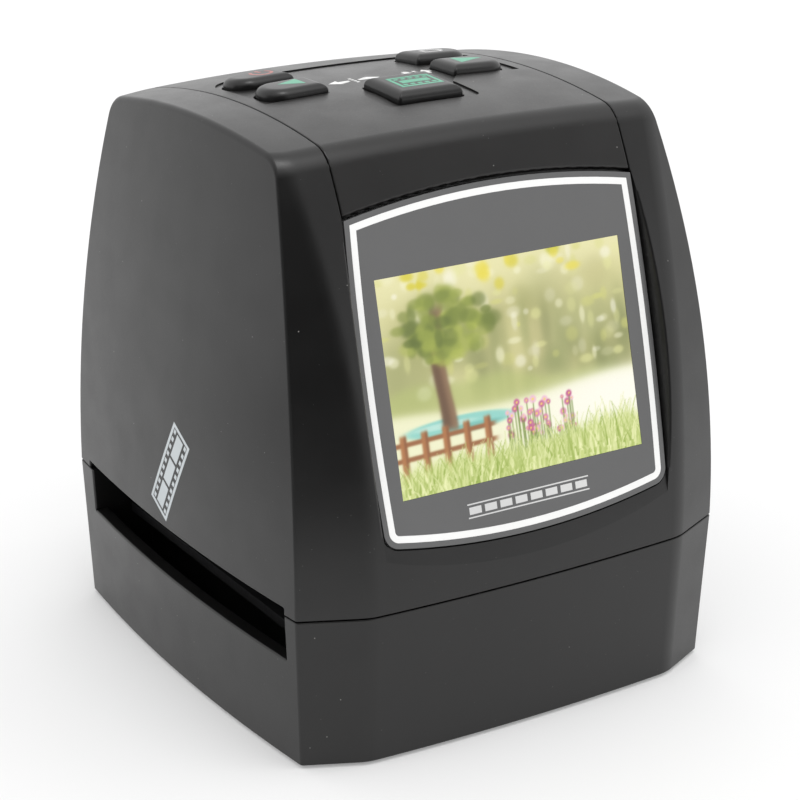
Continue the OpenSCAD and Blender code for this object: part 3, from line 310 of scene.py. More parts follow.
def row_line(row, r, inset, low, at_foot, goal, counts, caps):
    """Points and normals along a row: over the end face and its corner facet, round the sharp edge
    of radius r, and along the side to its middle at the height goal."""
    def short_of_side(u):
        p = row(u)[0]
        return math.hypot(p[0] - (BODY_W / 2 - SIDE_PLAN), p[1]) < side_rho(p[2], inset)

    u_edge = bisect(1.9, 3.6, short_of_side, 34)
    e, nf = row(u_edge)
    ns = side_at(e[1], e[2], inset)[1]
    cos = dot(nf, ns)
    reach = r * math.tan(math.acos(cos) / 2)
    u_facet = bisect(u_edge - 1.0, u_edge, lambda u: math.dist(row(u)[0], e) > reach, 30)
    along = unit([cos * ns[i] - nf[i] for i in range(3)])
    y, z = [e[i] + along[i] * reach for i in (1, 2)]
    side = side_at(y, low if at_foot else max(z, low), inset)
    line = [row(i / counts[0]) for i in range(counts[0])]
    line += [row(1 + i / counts[1]) for i in range(counts[1])]
    line += [row(2 + (u_facet - 2) * i / counts[2]) for i in range(counts[2])]
    for p, n in rounded(e, r, nf, ns, row(u_facet), side, EDGE_STEPS):
        if at_foot:
            p[2] = low
        line.append((p, n))
    _, y, z = side[0]
    for i in range(1, caps + 1):
        w = (i / caps) ** 1.5
        line.append(side_at(y * (1 - w), z + (goal - z) * w, inset))
    return line


def upper_loft(name, inset=0.0, low=SEAM, walls=16, crowns=12, counts=(14, 8, 5), caps=14, foot=0.0):
    """Closed mesh of the upper form set back by inset, with a normal for every vertex."""
    low += foot
    rows, middle = upper_shape(inset, low, walls, crowns)
    verts, normals, grid = [], [], []
    for k, row in enumerate(rows):
        half = min(k, len(rows) - 1 - k)
        top = max(0.0, min(1.0, (half - walls) / ARCS))
        r = max(SHARP_R + (TOP_SHARP_R - SHARP_R) * top - inset, 0.3)
        goal = low + (SIDE_TOP - low) * min(1.0, half / middle * 1.25)
        line = row_line(row, r, inset, low, half == 0, goal, counts, caps)
        first, n = len(verts), len(line)
        verts += [tuple(p) for p, q in line] + [(-p[0], p[1], p[2]) for p, q in line[1:]]
        normals += [tuple(q) for p, q in line] + [(-q[0], q[1], q[2]) for p, q in line[1:]]
        grid.append((list(range(first, first + n)),
                     [first] + list(range(first + n, first + 2 * n - 1))))
    faces = []
    for (r0, l0), (r1, l1) in zip(grid, grid[1:]):
        for i in range(len(r0) - 1):
            faces.append((r0[i], r0[i + 1], r1[i + 1], r1[i]))
            faces.append((l0[i + 1], l0[i], l1[i], l1[i + 1]))
    (r0, l0), (r1, l1) = grid[0], grid[-1]
    # The flat underside runs round the foot of all faces, and is rounded off by foot
    rim = loop = l0[::-1] + r0[1:] + r1[-2::-1] + l1[1:-1]
    n = len(rim)
    for k in range(1, 5) if foot else ():
        a = math.pi / 2 * k / 4
        back = foot * (1 - math.cos(a))
        ring = list(range(len(verts), len(verts) + n))
        for i in rim:
            p, h = verts[i], unit((normals[i][0], normals[i][1], 0.0))
            verts.append((p[0] - h[0] * back, p[1] - h[1] * back, low - foot * math.sin(a)))
            normals.append((h[0] * math.cos(a), h[1] * math.cos(a), -math.sin(a)))
        faces += [(loop[i], loop[(i + 1) % n], ring[(i + 1) % n], ring[i]) for i in range(n)]
        loop = ring
    faces.append(tuple(loop))
    ob = solid(name, verts, faces)
    weld(ob, 2e-6)
    kept = {tuple(round(c, 3) for c in v): n for v, n in zip(verts, normals)}
    out = []
    for v in ob.data.vertices:
        spot = tuple(round(c / MM, 3) for c in v.co)
        if spot not in kept:
            spot = min(kept, key=lambda q: sum((a - b) ** 2 for a, b in zip(q, spot)))
        out.append(kept[spot])
    right_way_out(ob)
    return ob, out


def base_columns(counts):
    """Columns of one whole turn, from the middle of the front to the right: (end, side, segment,
    fraction)."""
    quad = []
    for seg, count in enumerate(counts):
        for i in range(count):
            quad.append((seg, i / count))
    quad.append((4, 1.0))
    right = [(-1, 1, seg, f) for seg, f in quad] + [(1, 1, seg, f) for seg, f in quad[-2::-1]]
    return right + [(e, -1, seg, f) for e, _, seg, f in right[-2:0:-1]]


def base_loft(name, inset, low, high, foot=0.0, lip=0.0, counts=(20, 8, 5, 6, 22), rows=10):
    """Closed mesh of the base form between two heights, rounded by foot and lip at its ends, with a
    normal for every vertex."""
    cols = base_columns(counts)
    r1, r2 = max(SOFT_R - inset, 0.5), max(SHARP_R - inset, 0.3)
    levels = []
    if foot:
        levels += [(low + foot * (1 - math.sin(a)), foot * (1 - math.cos(a)), -a)
                   for a in [math.pi / 2 * (1 - k / 4) for k in range(4)]]
    levels += [(low + foot + (high - lip - low - foot) * k / rows, 0.0, 0.0) for k in range(rows + 1)]
    if lip:
        levels += [(high - lip * (1 - math.sin(a)), lip * (1 - math.cos(a)), a)
                   for a in [math.pi / 2 * k / 4 for k in range(1, 5)]]
    verts, normals = [], []
    for z, back, a in levels:
        for end, m, seg, f in cols:
            p, n = base_point(end, seg, f, z, inset, r1, r2)
            flat = unit((n[0], n[1], 0))
            verts.append((m * (p[0] - flat[0] * back), p[1] - flat[1] * back, z))
            q = unit((n[0] * math.cos(a), n[1] * math.cos(a), n[2] * math.cos(a) + math.sin(a)))
            normals.append((m * q[0], q[1], q[2]))
    return solid(name, verts, tube_faces(len(cols), len(levels))), normals


def tube_faces(count, levels):
    """Faces of a closed tube through rings of count vertices, with flat ends."""
    faces = [(r * count + i, r * count + (i + 1) % count, (r + 1) * count + (i + 1) % count,
              (r + 1) * count + i) for r in range(levels - 1) for i in range(count)]
    faces.append(tuple(range(count - 1, -1, -1)))
    faces.append(tuple(range((levels - 1) * count, levels * count)))
    return faces


def grid_faces(across, up):
    """Quads over rows of vertices, with so many across and so many rows."""
    return [(j * across + i, j * across + i + 1, (j + 1) * across + i + 1, (j + 1) * across + i)
            for j in range(up - 1) for i in range(across - 1)]


def right_way_out(ob):
    """Turns all faces outwards."""
    bm = bmesh.new()
    bm.from_mesh(ob.data)
    bmesh.ops.recalc_face_normals(bm, faces=bm.faces)
    bm.to_mesh(ob.data)
    bm.free()


def weld(ob, dist):
    """Joins vertices that lie closer than dist, in metres."""
    bm = bmesh.new()
    bm.from_mesh(ob.data)
    bmesh.ops.remove_doubles(bm, verts=bm.verts, dist=dist)
    bmesh.ops.dissolve_degenerate(bm, edges=bm.edges, dist=1e-7)
    bm.to_mesh(ob.data)
    bm.free()
    ob.data.update()


# ------------------------------------------------------------------ solids and cuts

def put(name, data):
    """A new object in the scene."""
    ob = bpy.data.objects.new(name, data)
    bpy.context.collection.objects.link(ob)
    return ob


def solid(name, verts, faces):
    """Object of a mesh given in millimetres."""
    me = bpy.data.meshes.new(name)
    me.from_pydata([Vector(v) * MM for v in verts], [], faces)
    me.update()
    return put(name, me)


def prism(name, outline, low, high, turn=None, top=None):
    """Prism over an outline (counterclockwise), from low to high; top is its upper outline."""
    n = len(outline)
    upper = top or outline
    verts = [(p[0], p[1], low) for p in outline] + [(p[0], p[1], high) for p in upper]
    if turn:
        verts = [turn(v) for v in verts]
    faces = [tuple(range(n - 1, -1, -1)), tuple(range(n, 2 * n))]
    faces += [(i, (i + 1) % n, n + (i + 1) % n, n + i) for i in range(n)]
    return solid(name, verts, faces)


def block(name, x0, x1, y0, y1, z0, z1, turn=None):
    return prism(name, [(x0, y0), (x1, y0), (x1, y1), (x0, y1)], z0, z1, turn)


def rod(name, x, y, r, z0, z1, count=48, turn=None):
    pts = [(x + r * math.cos(2 * math.pi * i / count), y + r * math.sin(2 * math.pi * i / count))
           for i in range(count)]
    return prism(name, pts, z0, z1, turn)


def combine(ob, others, how):
    """Cuts, joins or intersects ob with each of the others, which are used up."""
    for other in others:
        mod = ob.modifiers.new("step", "BOOLEAN")
        mod.operation = how
        mod.object = other
        mod.solver = "MANIFOLD"
        deps = bpy.context.evaluated_depsgraph_get()
        me = bpy.data.meshes.new_from_object(ob.evaluated_get(deps))
        ob.modifiers.clear()
        if len(me.polygons) == 0:
            raise RuntimeError("empty result cutting %s with %s" % (ob.name, other.name))
        old = ob.data
        ob.data = me
        bpy.data.meshes.remove(old)
        bpy.data.objects.remove(other, do_unlink=True)
    return ob


def on_screen(v):
    """A place given on the screen's axes: to the right, up the screen and out of it."""
    x, up, out = v
    return (x, SCREEN_Y + up * math.cos(TILT) - out * math.sin(TILT),
            SCREEN_Z + up * math.sin(TILT) + out * math.cos(TILT))


def screen_way(v):
    """A direction given on the screen's axes."""
    return Vector(on_screen(v)) - Vector(on_screen((0, 0, 0)))


def side_x(v, grow):
    return BEZEL_HALF - SIDE_R + math.sqrt((SIDE_R + grow) ** 2 - (v - BEZEL_MIDDLE) ** 2)


def top_v(x, grow):
    return BEZEL_TOP - TOP_EDGE_R + math.sqrt((TOP_EDGE_R + grow) ** 2 - x * x)


def bottom_v(x, grow):
    return BOTTOM_R - BEZEL_DROP - math.sqrt((BOTTOM_R + grow) ** 2 - x * x)


def top_corner(side_grow, top_grow):
    """Where the bezel's side, grown by side_grow, meets its top edge, grown by top_grow."""
    v = 47.0
    for _ in range(30):
        v = top_v(side_x(v, side_grow), top_grow)
    return side_x(v, side_grow), v


def side_to_corner(low, corner, grow, count, first=0):
    """Points of the bezel's right side from a height up to its top corner."""
    return [(side_x(low + (corner[1] - low) * i / count, grow), low + (corner[1] - low) * i / count)
            for i in range(first, count + 1)]


def across(x, count):
    """Places from x to -x, without the ends."""
    return [x - 2 * x * i / count for i in range(1, count)]


def open_outline(grow, low, count=24):
    """Sides and top edge of the bezel's outline, continued down to a height."""
    corner = top_corner(grow, grow)
    right = side_to_corner(low, corner, grow, count)
    arc = [(x, top_v(x, grow)) for x in across(corner[0], count)]
    return right + arc + [(-x, v) for x, v in reversed(right)]


def bezel_outline(grow, count=24):
    """The bezel's outline with its rounded lower corners."""
    r = BEZEL_CORNER
    cs, cb = (BEZEL_HALF - SIDE_R, BEZEL_MIDDLE), (0.0, BOTTOM_R - BEZEL_DROP)
    d = math.hypot(cb[0] - cs[0], cb[1] - cs[1])
    e = ((cb[0] - cs[0]) / d, (cb[1] - cs[1]) / d)
    a = ((SIDE_R - r) ** 2 - (BOTTOM_R - r) ** 2 + d * d) / (2 * d)
    h = math.sqrt((SIDE_R - r) ** 2 - a * a)
    m = (cs[0] + a * e[0] + h * e[1], cs[1] + a * e[1] - h * e[0])
    a_side = math.atan2(m[1] - cs[1], m[0] - cs[0])
    a_low = math.atan2(m[1] - cb[1], m[0] - cb[0])
    rounding = [(m[0] + (r + grow) * math.cos(a_low + (a_side - a_low) * i / 8),
                 m[1] + (r + grow) * math.sin(a_low + (a_side - a_low) * i / 8)) for i in range(9)]
    corner = top_corner(grow, grow)
    half = rounding + side_to_corner(rounding[-1][1], corner, grow, count, 1)
    arc = [(x, top_v(x, grow)) for x in across(corner[0], count)]
    low = [(x, bottom_v(x, grow)) for x in across(-rounding[0][0], count)]
    return half + arc + [(-x, v) for x, v in reversed(half)] + low


def strip(name, inset):
    """The cover's room: between two side planes, above the bezel's top edge and above its rear."""
    half = COVER_W / 2 - inset
    xs = [half - 2 * half * i / 24 for i in range(25)]
    pts = [(-half, 95.0)] + [(x, top_v(x, BEZEL_GAP + inset)) for x in reversed(xs)] + [(half, 95.0)]
    ob = prism(name, pts, -120.0, 20.0, on_screen)
    return combine(ob, [block("rear_limit", -60, 60, -90, 90, COVER_REAR + inset, 150)], "INTERSECT")


def button_outline(b, grow=0.0, count=8):
    x, y, w, d, side = b
    pts = []
    for sx, sy, a0 in ((1, 1, 0), (-1, 1, 90), (-1, -1, 180), (1, -1, 270)):
        r = BUTTON_OUTER_R if sx == side else BUTTON_R
        r = max(r + grow, 0.25)
        cx, cy = x + sx * (w / 2 + grow - r), y + sy * (d / 2 + grow - r)
        for i in range(count + 1):
            a = math.radians(a0 + 90 * i / count)
            pts.append((cx + r * math.cos(a), cy + r * math.sin(a)))
    return pts


def panel_outline():
    """Shallow T-shaped panel round the buttons, counterclockwise."""
    right = [(9.45, -6.0), (12.5, -2.35), (26.0, -2.35)]
    right += [(18.0 + 8.0 * math.cos(a), 14.0 + 8.0 * math.sin(a))
              for a in [math.pi / 2 * i / 12 for i in range(13)]]
    foot = [(7.85 + 1.6 * math.cos(a), -13.7 + 1.6 * math.sin(a))
            for a in [math.pi / 2 * (i / 6 - 1) for i in range(7)]]
    half = foot + right
    back = [(18.0 - 36.0 * i / 12, 22.0) for i in range(1, 12)]
    return half + back + [(-x, y) for x, y in reversed(half)]


class Skin:
    """Outer skin of a form: finds its points and smooth normals."""

    def __init__(self, ob, normals):
        bm = bmesh.new()
        bm.from_mesh(ob.data)
        bmesh.ops.triangulate(bm, faces=bm.faces)
        self.verts = [v.co.copy() for v in bm.verts]
        self.tris = [tuple(v.index for v in f.verts) for f in bm.faces]
        self.flat = [f.normal.copy() for f in bm.faces]
        bm.free()
        self.normals = [Vector(n) for n in normals]
        self.tree = BVHTree.FromPolygons(self.verts, self.tris)

    def normal(self, index, point):
        tri = self.tris[index]
        w = poly_3d_calc([self.verts[i] for i in tri], point)
        n = Vector((0, 0, 0))
        for k, i in zip(w, tri):
            n += self.normals[i] * k
        return n.normalized()

    def hit(self, origin, direction):
        """Where a line from inside the form leaves it, in millimetres, and the normal there."""
        p, _, index, _ = self.tree.ray_cast(Vector(origin) * MM, Vector(direction))
        if p is None:
            return None
        return Vector(p) / MM, self.normal(index, p)


def edge_round(name, points, n1, n2, r, closed=False, steps=4):
    """What a rounding of radius r takes off an edge between two faces, swept along the edge."""
    m, n = len(points), steps + 4
    points = [Vector(p) for p in points]
    out, past = 0.06, 0.01
    verts, faces = [], []
    for i in range(m):
        prev = points[i - 1] if i or closed else points[0]
        nxt = points[(i + 1) % m] if i < m - 1 or closed else points[-1]
        t = (nxt - prev).normalized()
        a_n, b_n = Vector(n1[i]), Vector(n2[i])
        a_n = (a_n - t * a_n.dot(t)).normalized()
        b_n = (b_n - t * b_n.dot(t)).normalized()
        cos = a_n.dot(b_n)
        theta = math.acos(max(-0.99, min(0.9999, cos)))
        reach = r * math.tan(theta / 2)
        a = (cos * a_n - b_n).normalized()
        b = (cos * b_n - a_n).normalized()
        c = points[i] - (a_n + b_n) * r / (1 + cos)
        section = [points[i] + a * (reach + past) + a_n * out]
        for k in range(steps + 1):
            f = k / steps
            w0 = math.sin(theta * (1 - f)) / math.sin(theta)
            w1 = math.sin(theta * f) / math.sin(theta)
            section.append(c + (a_n * w0 + b_n * w1) * r)
        section.append(points[i] + b * (reach + past) + b_n * out)
        section.append(points[i] + (a_n + b_n) * (out + 0.04))
        verts += [tuple(p) for p in section]
    for i in range(m if closed else m - 1):
        j = (i + 1) % m
        for k in range(n):
            l = (k + 1) % n
            faces.append((i * n + k, i * n + l, j * n + l, j * n + k))
    if not closed:
        faces.append(tuple(range(n - 1, -1, -1)))
        faces.append(tuple(range((m - 1) * n, m * n)))
    ob = solid(name, verts, faces)
    right_way_out(ob)
    return ob


def corner_normals(me):
    """A normal for each face corner of a mesh of triangles, smooth over bends under 26 degrees."""
    n_poly, n_loop = len(me.polygons), len(me.loops)
    flat, area = np.zeros(n_poly * 3), np.zeros(n_poly)
    me.polygons.foreach_get("normal", flat)
    me.polygons.foreach_get("area", area)
    flat = flat.reshape(-1, 3)
    corner_vertex = np.zeros(n_loop, int)
    me.loops.foreach_get("vertex_index", corner_vertex)
    corner_face = np.repeat(np.arange(n_poly), 3)
    order = np.argsort(corner_vertex, kind="stable")
    starts = np.searchsorted(corner_vertex[order], np.arange(len(me.vertices) + 1))
    out = np.zeros((n_loop, 3))
    for v in range(len(me.vertices)):
        corners = order[starts[v]:starts[v + 1]]
        if len(corners) == 0:
            continue
        faces = corner_face[corners]
        alike = flat[faces] @ flat[faces].T
        weight = np.where(alike > 0.9, area[faces][None, :] + 1e-14, 0.0)
        total = weight @ flat[faces]
        length = np.linalg.norm(total, axis=1, keepdims=True)
        out[corners] = np.where(length > 0, total / np.maximum(length, 1e-30), flat[faces])
    return out


def skin_normals(me, p, skin, tol):
    """Normals of a skin at the corners of a face, or None where the face doesn't lie on the skin."""
    hit, _, nearest, dist = skin.tree.find_nearest(p.center)
    if hit is None or dist > 3 * tol * MM or skin.flat[nearest].dot(p.normal) < 0.9:
        return None
    found = []
    for loop in p.loop_indices:
        spot, _, index, dist = skin.tree.find_nearest(me.vertices[me.loops[loop].vertex_index].co)
        if dist > tol * MM:
            return None
        n = skin.normal(index, spot)
        if n.dot(p.normal) < 0.8:
            n = skin.normal(nearest, spot)
            n = n if n.dot(p.normal) > 0.8 else p.normal
        found.append(n)
    return found


def finish_normals(ob, skins, tol=0.004):
    """Faces that lie on a skin take its smooth normals; the others are smooth over gentle bends."""
    bm = bmesh.new()
    bm.from_mesh(ob.data)
    bmesh.ops.triangulate(bm, faces=bm.faces)
    bm.to_mesh(ob.data)
    bm.free()
    me = ob.data
    out = corner_normals(me)
    for p in me.polygons:
        p.use_smooth = True
        for skin in skins:
            found = skin_normals(me, p, skin, tol)
            if found:
                for loop, n in zip(p.loop_indices, found):
                    out[loop] = n
                break
    me.normals_split_custom_set([tuple(n) for n in out])


# ------------------------------------------------------------------ housings and cover

def recess_path(skin, sx, low, high, count):
    """The edge where a side wall of the screen's recess meets the outer skin."""
    pts, n1, n2 = [], [], []
    for i in range(count + 1):
        v = low + (high - low) * i / count
        x = sx * side_x(v, BEZEL_GAP)
        # The wall leans outwards; its normal points into the recess
        radial = Vector((x - sx * (BEZEL_HALF - SIDE_R), v - BEZEL_MIDDLE, 0)).normalized()
        lean = Vector((radial.x * FLARE, radial.y * FLARE, 1.0)).normalized()
        found = skin.hit(on_screen(Vector((x, v, 0)) - lean * 0.5), screen_way(lean))
        if found is None or (Vector(found[0]) - Vector(on_screen((x, v, -0.5)))).length < 0.9:
            continue
        pts.append(found[0])
        n1.append(found[1])
        n2.append(screen_way(Vector((-radial.x, -radial.y, FLARE)).normalized()))
    return pts, n1, n2


def skin_path(skin, starts, direction, wall, extend=(0.0, 0.0)):
    """Points where lines from the given starts leave the skin, with skin and wall normals; both
    ends are moved on by extend."""
    pts, n1, n2 = [], [], []
    for start, w in zip(starts, wall):
        p, n = skin.hit(start, direction)
        pts.append(p)
        n1.append(n)
        n2.append(w)
    pts[0] = pts[0] + (pts[0] - pts[1]).normalized() * extend[0]
    pts[-1] = pts[-1] + (pts[-1] - pts[-2]).normalized() * extend[1]
    return pts, n1, n2


outer_ob, outer_normals = upper_loft("outer", foot=0.2, walls=20, crowns=14, counts=(18, 8, 6), caps=16)
outer = Skin(outer_ob, outer_normals)


def copy_of(ob, name):
    return put(name, ob.data.copy())


def recess_cutter(name):
    """What the screen's recess takes off: its sides lean outwards, its bowed top edge is upright."""
    low, depth, count = -24.0, 10.0, 24
    wide = BEZEL_GAP + FLARE * depth
    foot = open_outline(BEZEL_GAP, low, count)
    corner_x, corner_v = top_corner(wide, BEZEL_GAP)
    head = []
    for i, (x, v) in enumerate(foot):
        step = min(i, len(foot) - 1 - i)
        if step <= count:
            v = low + (corner_v - low) * step / count
            head.append((math.copysign(side_x(v, wide), x), v))
        else:
            x = corner_x - 2 * corner_x * ((i - count) / (len(foot) - 2 * count - 1))
            head.append((x, top_v(x, BEZEL_GAP)))
    return prism(name, foot, 0.0, depth, on_screen, top=head)


def slot_rounds(skin, z_low, z_high, y0, y1, z_top, r):
    """Roundings of the channel's mouths on both sides: along its floor at z_low and its ceiling at
    z_top, where they are given, and up its front and rear."""
    cuts = []
    for sx in BOTH:
        edges = []
        if z_low is not None:
            edges.append(([(0, y0 + (y1 - y0) * i / 20, z_low) for i in range(21)], (0, 0, 1)))
        for y, ny in ((y0, 1), (y1, -1)):
            z = z_low if z_low is not None else SEAM + CLEAR_OF_SEAM
            edges.append(([(0, y, z + (z_high - z) * i / 8) for i in range(9)], (0, ny, 0)))
        if z_top is not None:
            edges.append(([(0, y0 + (y1 - y0) * i / 20, z_top) for i in range(21)], (0, 0, -1)))
        for starts, w in edges:
            ends = (0.0, 0.0) if w[1] == 0 else ((0.4, 0.0) if z_low is None else (0.0, 0.5))
            path = skin_path(skin, starts, (sx, 0, 0), [w] * len(starts), ends)
            cuts.append(edge_round("round", *path, r))
    return cuts


def cover_side_rounds(half, length, facing, r):
    """Roundings along the sides of the cover (facing 1) or of the housing beside it (facing -1)."""
    cuts = []
    ys = [-34 + length * i / 60 for i in range(61)]
    for sx in BOTH:
        walls = [(facing * sx, 0, 0)] * len(ys)
        path = skin_path(outer, [(sx * half, y, 70) for y in ys], (0, 0, 1), walls)
        cuts.append(edge_round("cover_side", *path, r, steps=3))
    return cuts


def lying(v):
    """Lays a rod made along Z down along Y."""
    return (v[0], -v[2], v[1])


def build_upper():
    ob = copy_of(outer_ob, "upper_housing_shell")
    cavity, _ = upper_loft("cavity", WALL, SEAM - 1.0, 10, 8, (8, 5, 3), 8)
    keep = [block("ledge", -60, 60, -20, BEZEL_TOP + 2.3, -BEZEL_T - 1.8, 95, on_screen)]
    keep += [rod("post", sx * POST[0], sy * POST[1], 3.0, 0, SEAM + 13.4) for sx, sy in CORNERS]
    combine(cavity, keep, "DIFFERENCE")
    combine(ob, [cavity], "DIFFERENCE")
    # The screen's recess, its shelf below, the bezel's seat and the opening behind the display
    shelf = [(side_x(-24 + 30 * i / 12, BEZEL_GAP - 0.02), -24 + 30 * i / 12) for i in range(13)]
    shelf += [(-x, v) for x, v in reversed(shelf)]
    combine(ob, [recess_cutter("recess"),
                 prism("shelf", shelf, -SHELF, 0.3, on_screen),
                 prism("seat", bezel_outline(BEZEL_GAP), -BEZEL_T, 0.5, on_screen),
                 block("opening", -27.3, 27.3, -4.5, 42.2, -4.6, 0.2, on_screen)], "DIFFERENCE")
    # Rebate of the cover, and the opening inside it
    rebate = strip("rebate", 0.0)
    under, _ = upper_loft("under", COVER_T, SEAM + 20, 8, 12, (12, 5, 4), 8)
    combine(rebate, [under], "DIFFERENCE")
    level = block("level", -60, 60, -90, 90, BODY_H - 24.95, 150)
    through = combine(strip("through", COVER_LAP), [level], "INTERSECT")
    combine(ob, [rebate, through], "DIFFERENCE")
    # Film channel, screw bores, and at the rear the sockets for card and USB and the round jack
    cuts = [block("channel", -60, 60, SLOT_FRONT, SLOT_REAR + SLOT_NOTCH, 0, SLOT_HEAD)]
    cuts += [rod("bore", sx * POST[0], sy * POST[1], BORE_R, 0, SEAM + 13) for sx, sy in CORNERS]
    cuts += [block("socket", x0, x1, 41, 54, 38.9, z1)
             for x0, x1, z1 in ((-25.15, -16.85, 43.5), (-2.3, 24.3, 42.4))]
    cuts.append(rod("jack", -9, 42.6, 3.3, -54, -41, 48, lying))
    combine(ob, cuts, "DIFFERENCE")
    # Roundings of the visible edges
    rounds = [edge_round("cheek_edge", *recess_path(outer, sx, -10, 48.5, 60), 0.45) for sx in BOTH]
    rounds += cover_side_rounds(COVER_W / 2, 74.3, -1, 0.16)
    rounds += slot_rounds(outer, None, SLOT_HEAD, SLOT_FRONT, SLOT_REAR + SLOT_NOTCH, SLOT_HEAD, 0.3)
    combine(ob, rounds, "DIFFERENCE")
    finish_normals(ob, [outer])
    return ob


def hole_rounds(skin):
    """Roundings of the button holes' edges."""
    cuts = []
    for b in BUTTONS.values():
        outline = button_outline(b, BUTTON_GAP)
        walls = []
        for (x0, y0), (x1, y1) in zip(outline[-1:] + outline, outline[1:] + outline[:1]):
            t = Vector((x1 - x0, y1 - y0, 0)).normalized()
            walls.append((-t.y, t.x, 0))
        path = skin_path(skin, [(x, y, 80) for x, y in outline], (0, 0, 1), walls)
        cuts.append(edge_round("hole_edge", *path, 0.18, closed=True, steps=3))
    return cuts


def cover_front_round(half):
    """Rounding of the cover's front edge, over the bezel."""
    pts, n1, n2 = [], [], []
    for i in range(49):
        x = -half - 0.5 + (2 * half + 1) * i / 48
        v = top_v(x, BEZEL_GAP + COVER_GAP)
        p, n = outer.hit(on_screen((x, v, -4)), screen_way((0, 0, 1)))
        pts.append(p)
        n1.append(n)
        n2.append(screen_way(Vector((-x, -(v - (BEZEL_TOP - TOP_EDGE_R)), 0)).normalized()))
    return edge_round("cover_front", pts, n1, n2, 0.5)


def build_cover():
    ob = copy_of(outer_ob, "top_cover_shell")
    under, _ = upper_loft("under", COVER_T, SEAM + 20, 8, 12, (12, 5, 4), 8)
    combine(ob, [strip("band", COVER_GAP)], "INTERSECT")
    combine(ob, [under], "DIFFERENCE")
    bosses = [rod("boss", x, y, 2.3, 93.6, crown_z(x, y) - 0.7)
              for x, y in ((-19, -12), (19, -12), (-5.5, 14), (5.5, 14))]
    combine(ob, bosses, "UNION")
    # The panel round the buttons lies a little lower
    sunk, sunk_normals = upper_loft("sunk", PANEL_SUNK, SEAM + 20, 8, 14, (16, 6, 5), 10)
    panel_skin = Skin(sunk, sunk_normals)
    panel = combine(prism("panel", panel_outline(), 90, 110), [sunk], "DIFFERENCE")
    combine(ob, [panel], "DIFFERENCE")
    holes = [prism("hole", button_outline(b, BUTTON_GAP), 90, 110) for b in BUTTONS.values()]
    combine(ob, holes, "DIFFERENCE")
    half = COVER_W / 2 - COVER_GAP
    rounds = hole_rounds(panel_skin) + cover_side_rounds(half, 76, 1, 0.22)
    combine(ob, rounds + [cover_front_round(half)], "DIFFERENCE")
    finish_normals(ob, [outer, panel_skin])
    return ob


base_ob, base_normals = base_loft("base_outer", 0.0, STAND, SEAM - REVEAL, 0.25, 0.2)
base_skin = Skin(base_ob, base_normals)


def build_base():
    ob = copy_of(base_ob, "base_housing_shell")
    tongue, _ = base_loft("tongue", 1.2, SEAM - 6, SEAM, counts=(16, 6, 4, 3, 18), rows=2)
    combine(ob, [tongue], "UNION")
    # What stays inside: the channel's walls and bearers, pillars, stands of the board, and ribs
    cavity, _ = base_loft("cavity", WALL, FLOOR_Z, SEAM + 1, counts=(12, 5, 4, 3, 12), rows=3)
    inside = [block("channel_wall", -50, 50, y0, y0 + CHANNEL_WALL, 0, SEAM + 2)
              for y0 in (SLOT_FRONT - CHANNEL_WALL, SLOT_REAR)]
    for x in (-31, 31):
        inside.append(block("bearer", x - 0.8, x + 0.8, SLOT_FRONT - 1, SLOT_REAR + 1, 0, SLOT_FLOOR - 1.8))
    for sx, sy in CORNERS:
        inside.append(rod("pillar", sx * POST[0], sy * POST[1], 3.2, 0, SEAM + 2))
        inside.append(rod("seat", sx * POST[0], sy * POST[1], 4.2, 0, 8.0))
        inside.append(rod("stand", sx * 19, -1.25 + sy * 13, 2.5, 0, 4.6))
    for x in (-10, 0, 10):
        inside.append(block("rib", x - 0.7, x + 0.7, -60, SLOT_FRONT, 0, SEAM - 6))
        inside.append(block("rib", x - 0.7, x + 0.7, SLOT_REAR, 60, 0, SEAM - 6))
    combine(cavity, inside, "DIFFERENCE")
    combine(ob, [cavity], "DIFFERENCE")
    # The channel's walls rise to the film gate, which is screwed onto bosses beside them
    screws = [(sx * SCREW_X, y) for sx in BOTH for y in (SLOT_FRONT - SCREW_OUT, SLOT_REAR + SCREW_OUT)]
    walls = [block("wall", -30.5, 30.5, y0, y0 + CHANNEL_WALL, SEAM - 1, SLOT_HEAD)
             for y0 in (SLOT_FRONT - CHANNEL_WALL, SLOT_REAR)]
    walls += [rod("boss", x, y, 2.6, SEAM - 16, SLOT_HEAD) for x, y in screws]
    combine(ob, walls, "UNION")
    cuts = [block("channel", -60, 60, SLOT_FRONT, SLOT_REAR, SLOT_FLOOR, 60)]
    for sx, sy in CORNERS:
        cuts.append(rod("bore", sx * POST[0], sy * POST[1], BORE_R, 0, 60))
        cuts.append(rod("sink", sx * POST[0], sy * POST[1], 2.7, 0, 6.0))
        cuts.append(rod("foot", sx * 28, sy * 33, 4.65, 0, 1.4))
    cuts += [rod("bore", x, y, PILOT_R, SLOT_HEAD - 7.5, 60) for x, y in screws]
    cuts.append(block("spring_seat", -10.7, 10.7, SLOT_REAR - 1, SLOT_REAR + 1.2, 21.8, 27.2))
    combine(ob, cuts, "DIFFERENCE")
    mouths = slot_rounds(base_skin, SLOT_FLOOR, SEAM - REVEAL - CLEAR_OF_SEAM, SLOT_FRONT, SLOT_REAR,
                         None, 0.35)
    combine(ob, mouths, "DIFFERENCE")
    finish_normals(ob, [base_skin])
    return ob


upper = build_upper()
cover = build_cover()
base = build_base()
for spare in (outer_ob, base_ob):
    bpy.data.objects.remove(spare, do_unlink=True)


# ------------------------------------------------------------------ buttons

def ring_stack(name, rings):
    """Closed solid through rings of equal count, with flat ends."""
    verts = [tuple(p) for ring in rings for p in ring]
    ob = solid(name, verts, tube_faces(len(rings[0]), len(rings)))
    weld(ob, 1e-7)
    right_way_out(ob)
    return ob


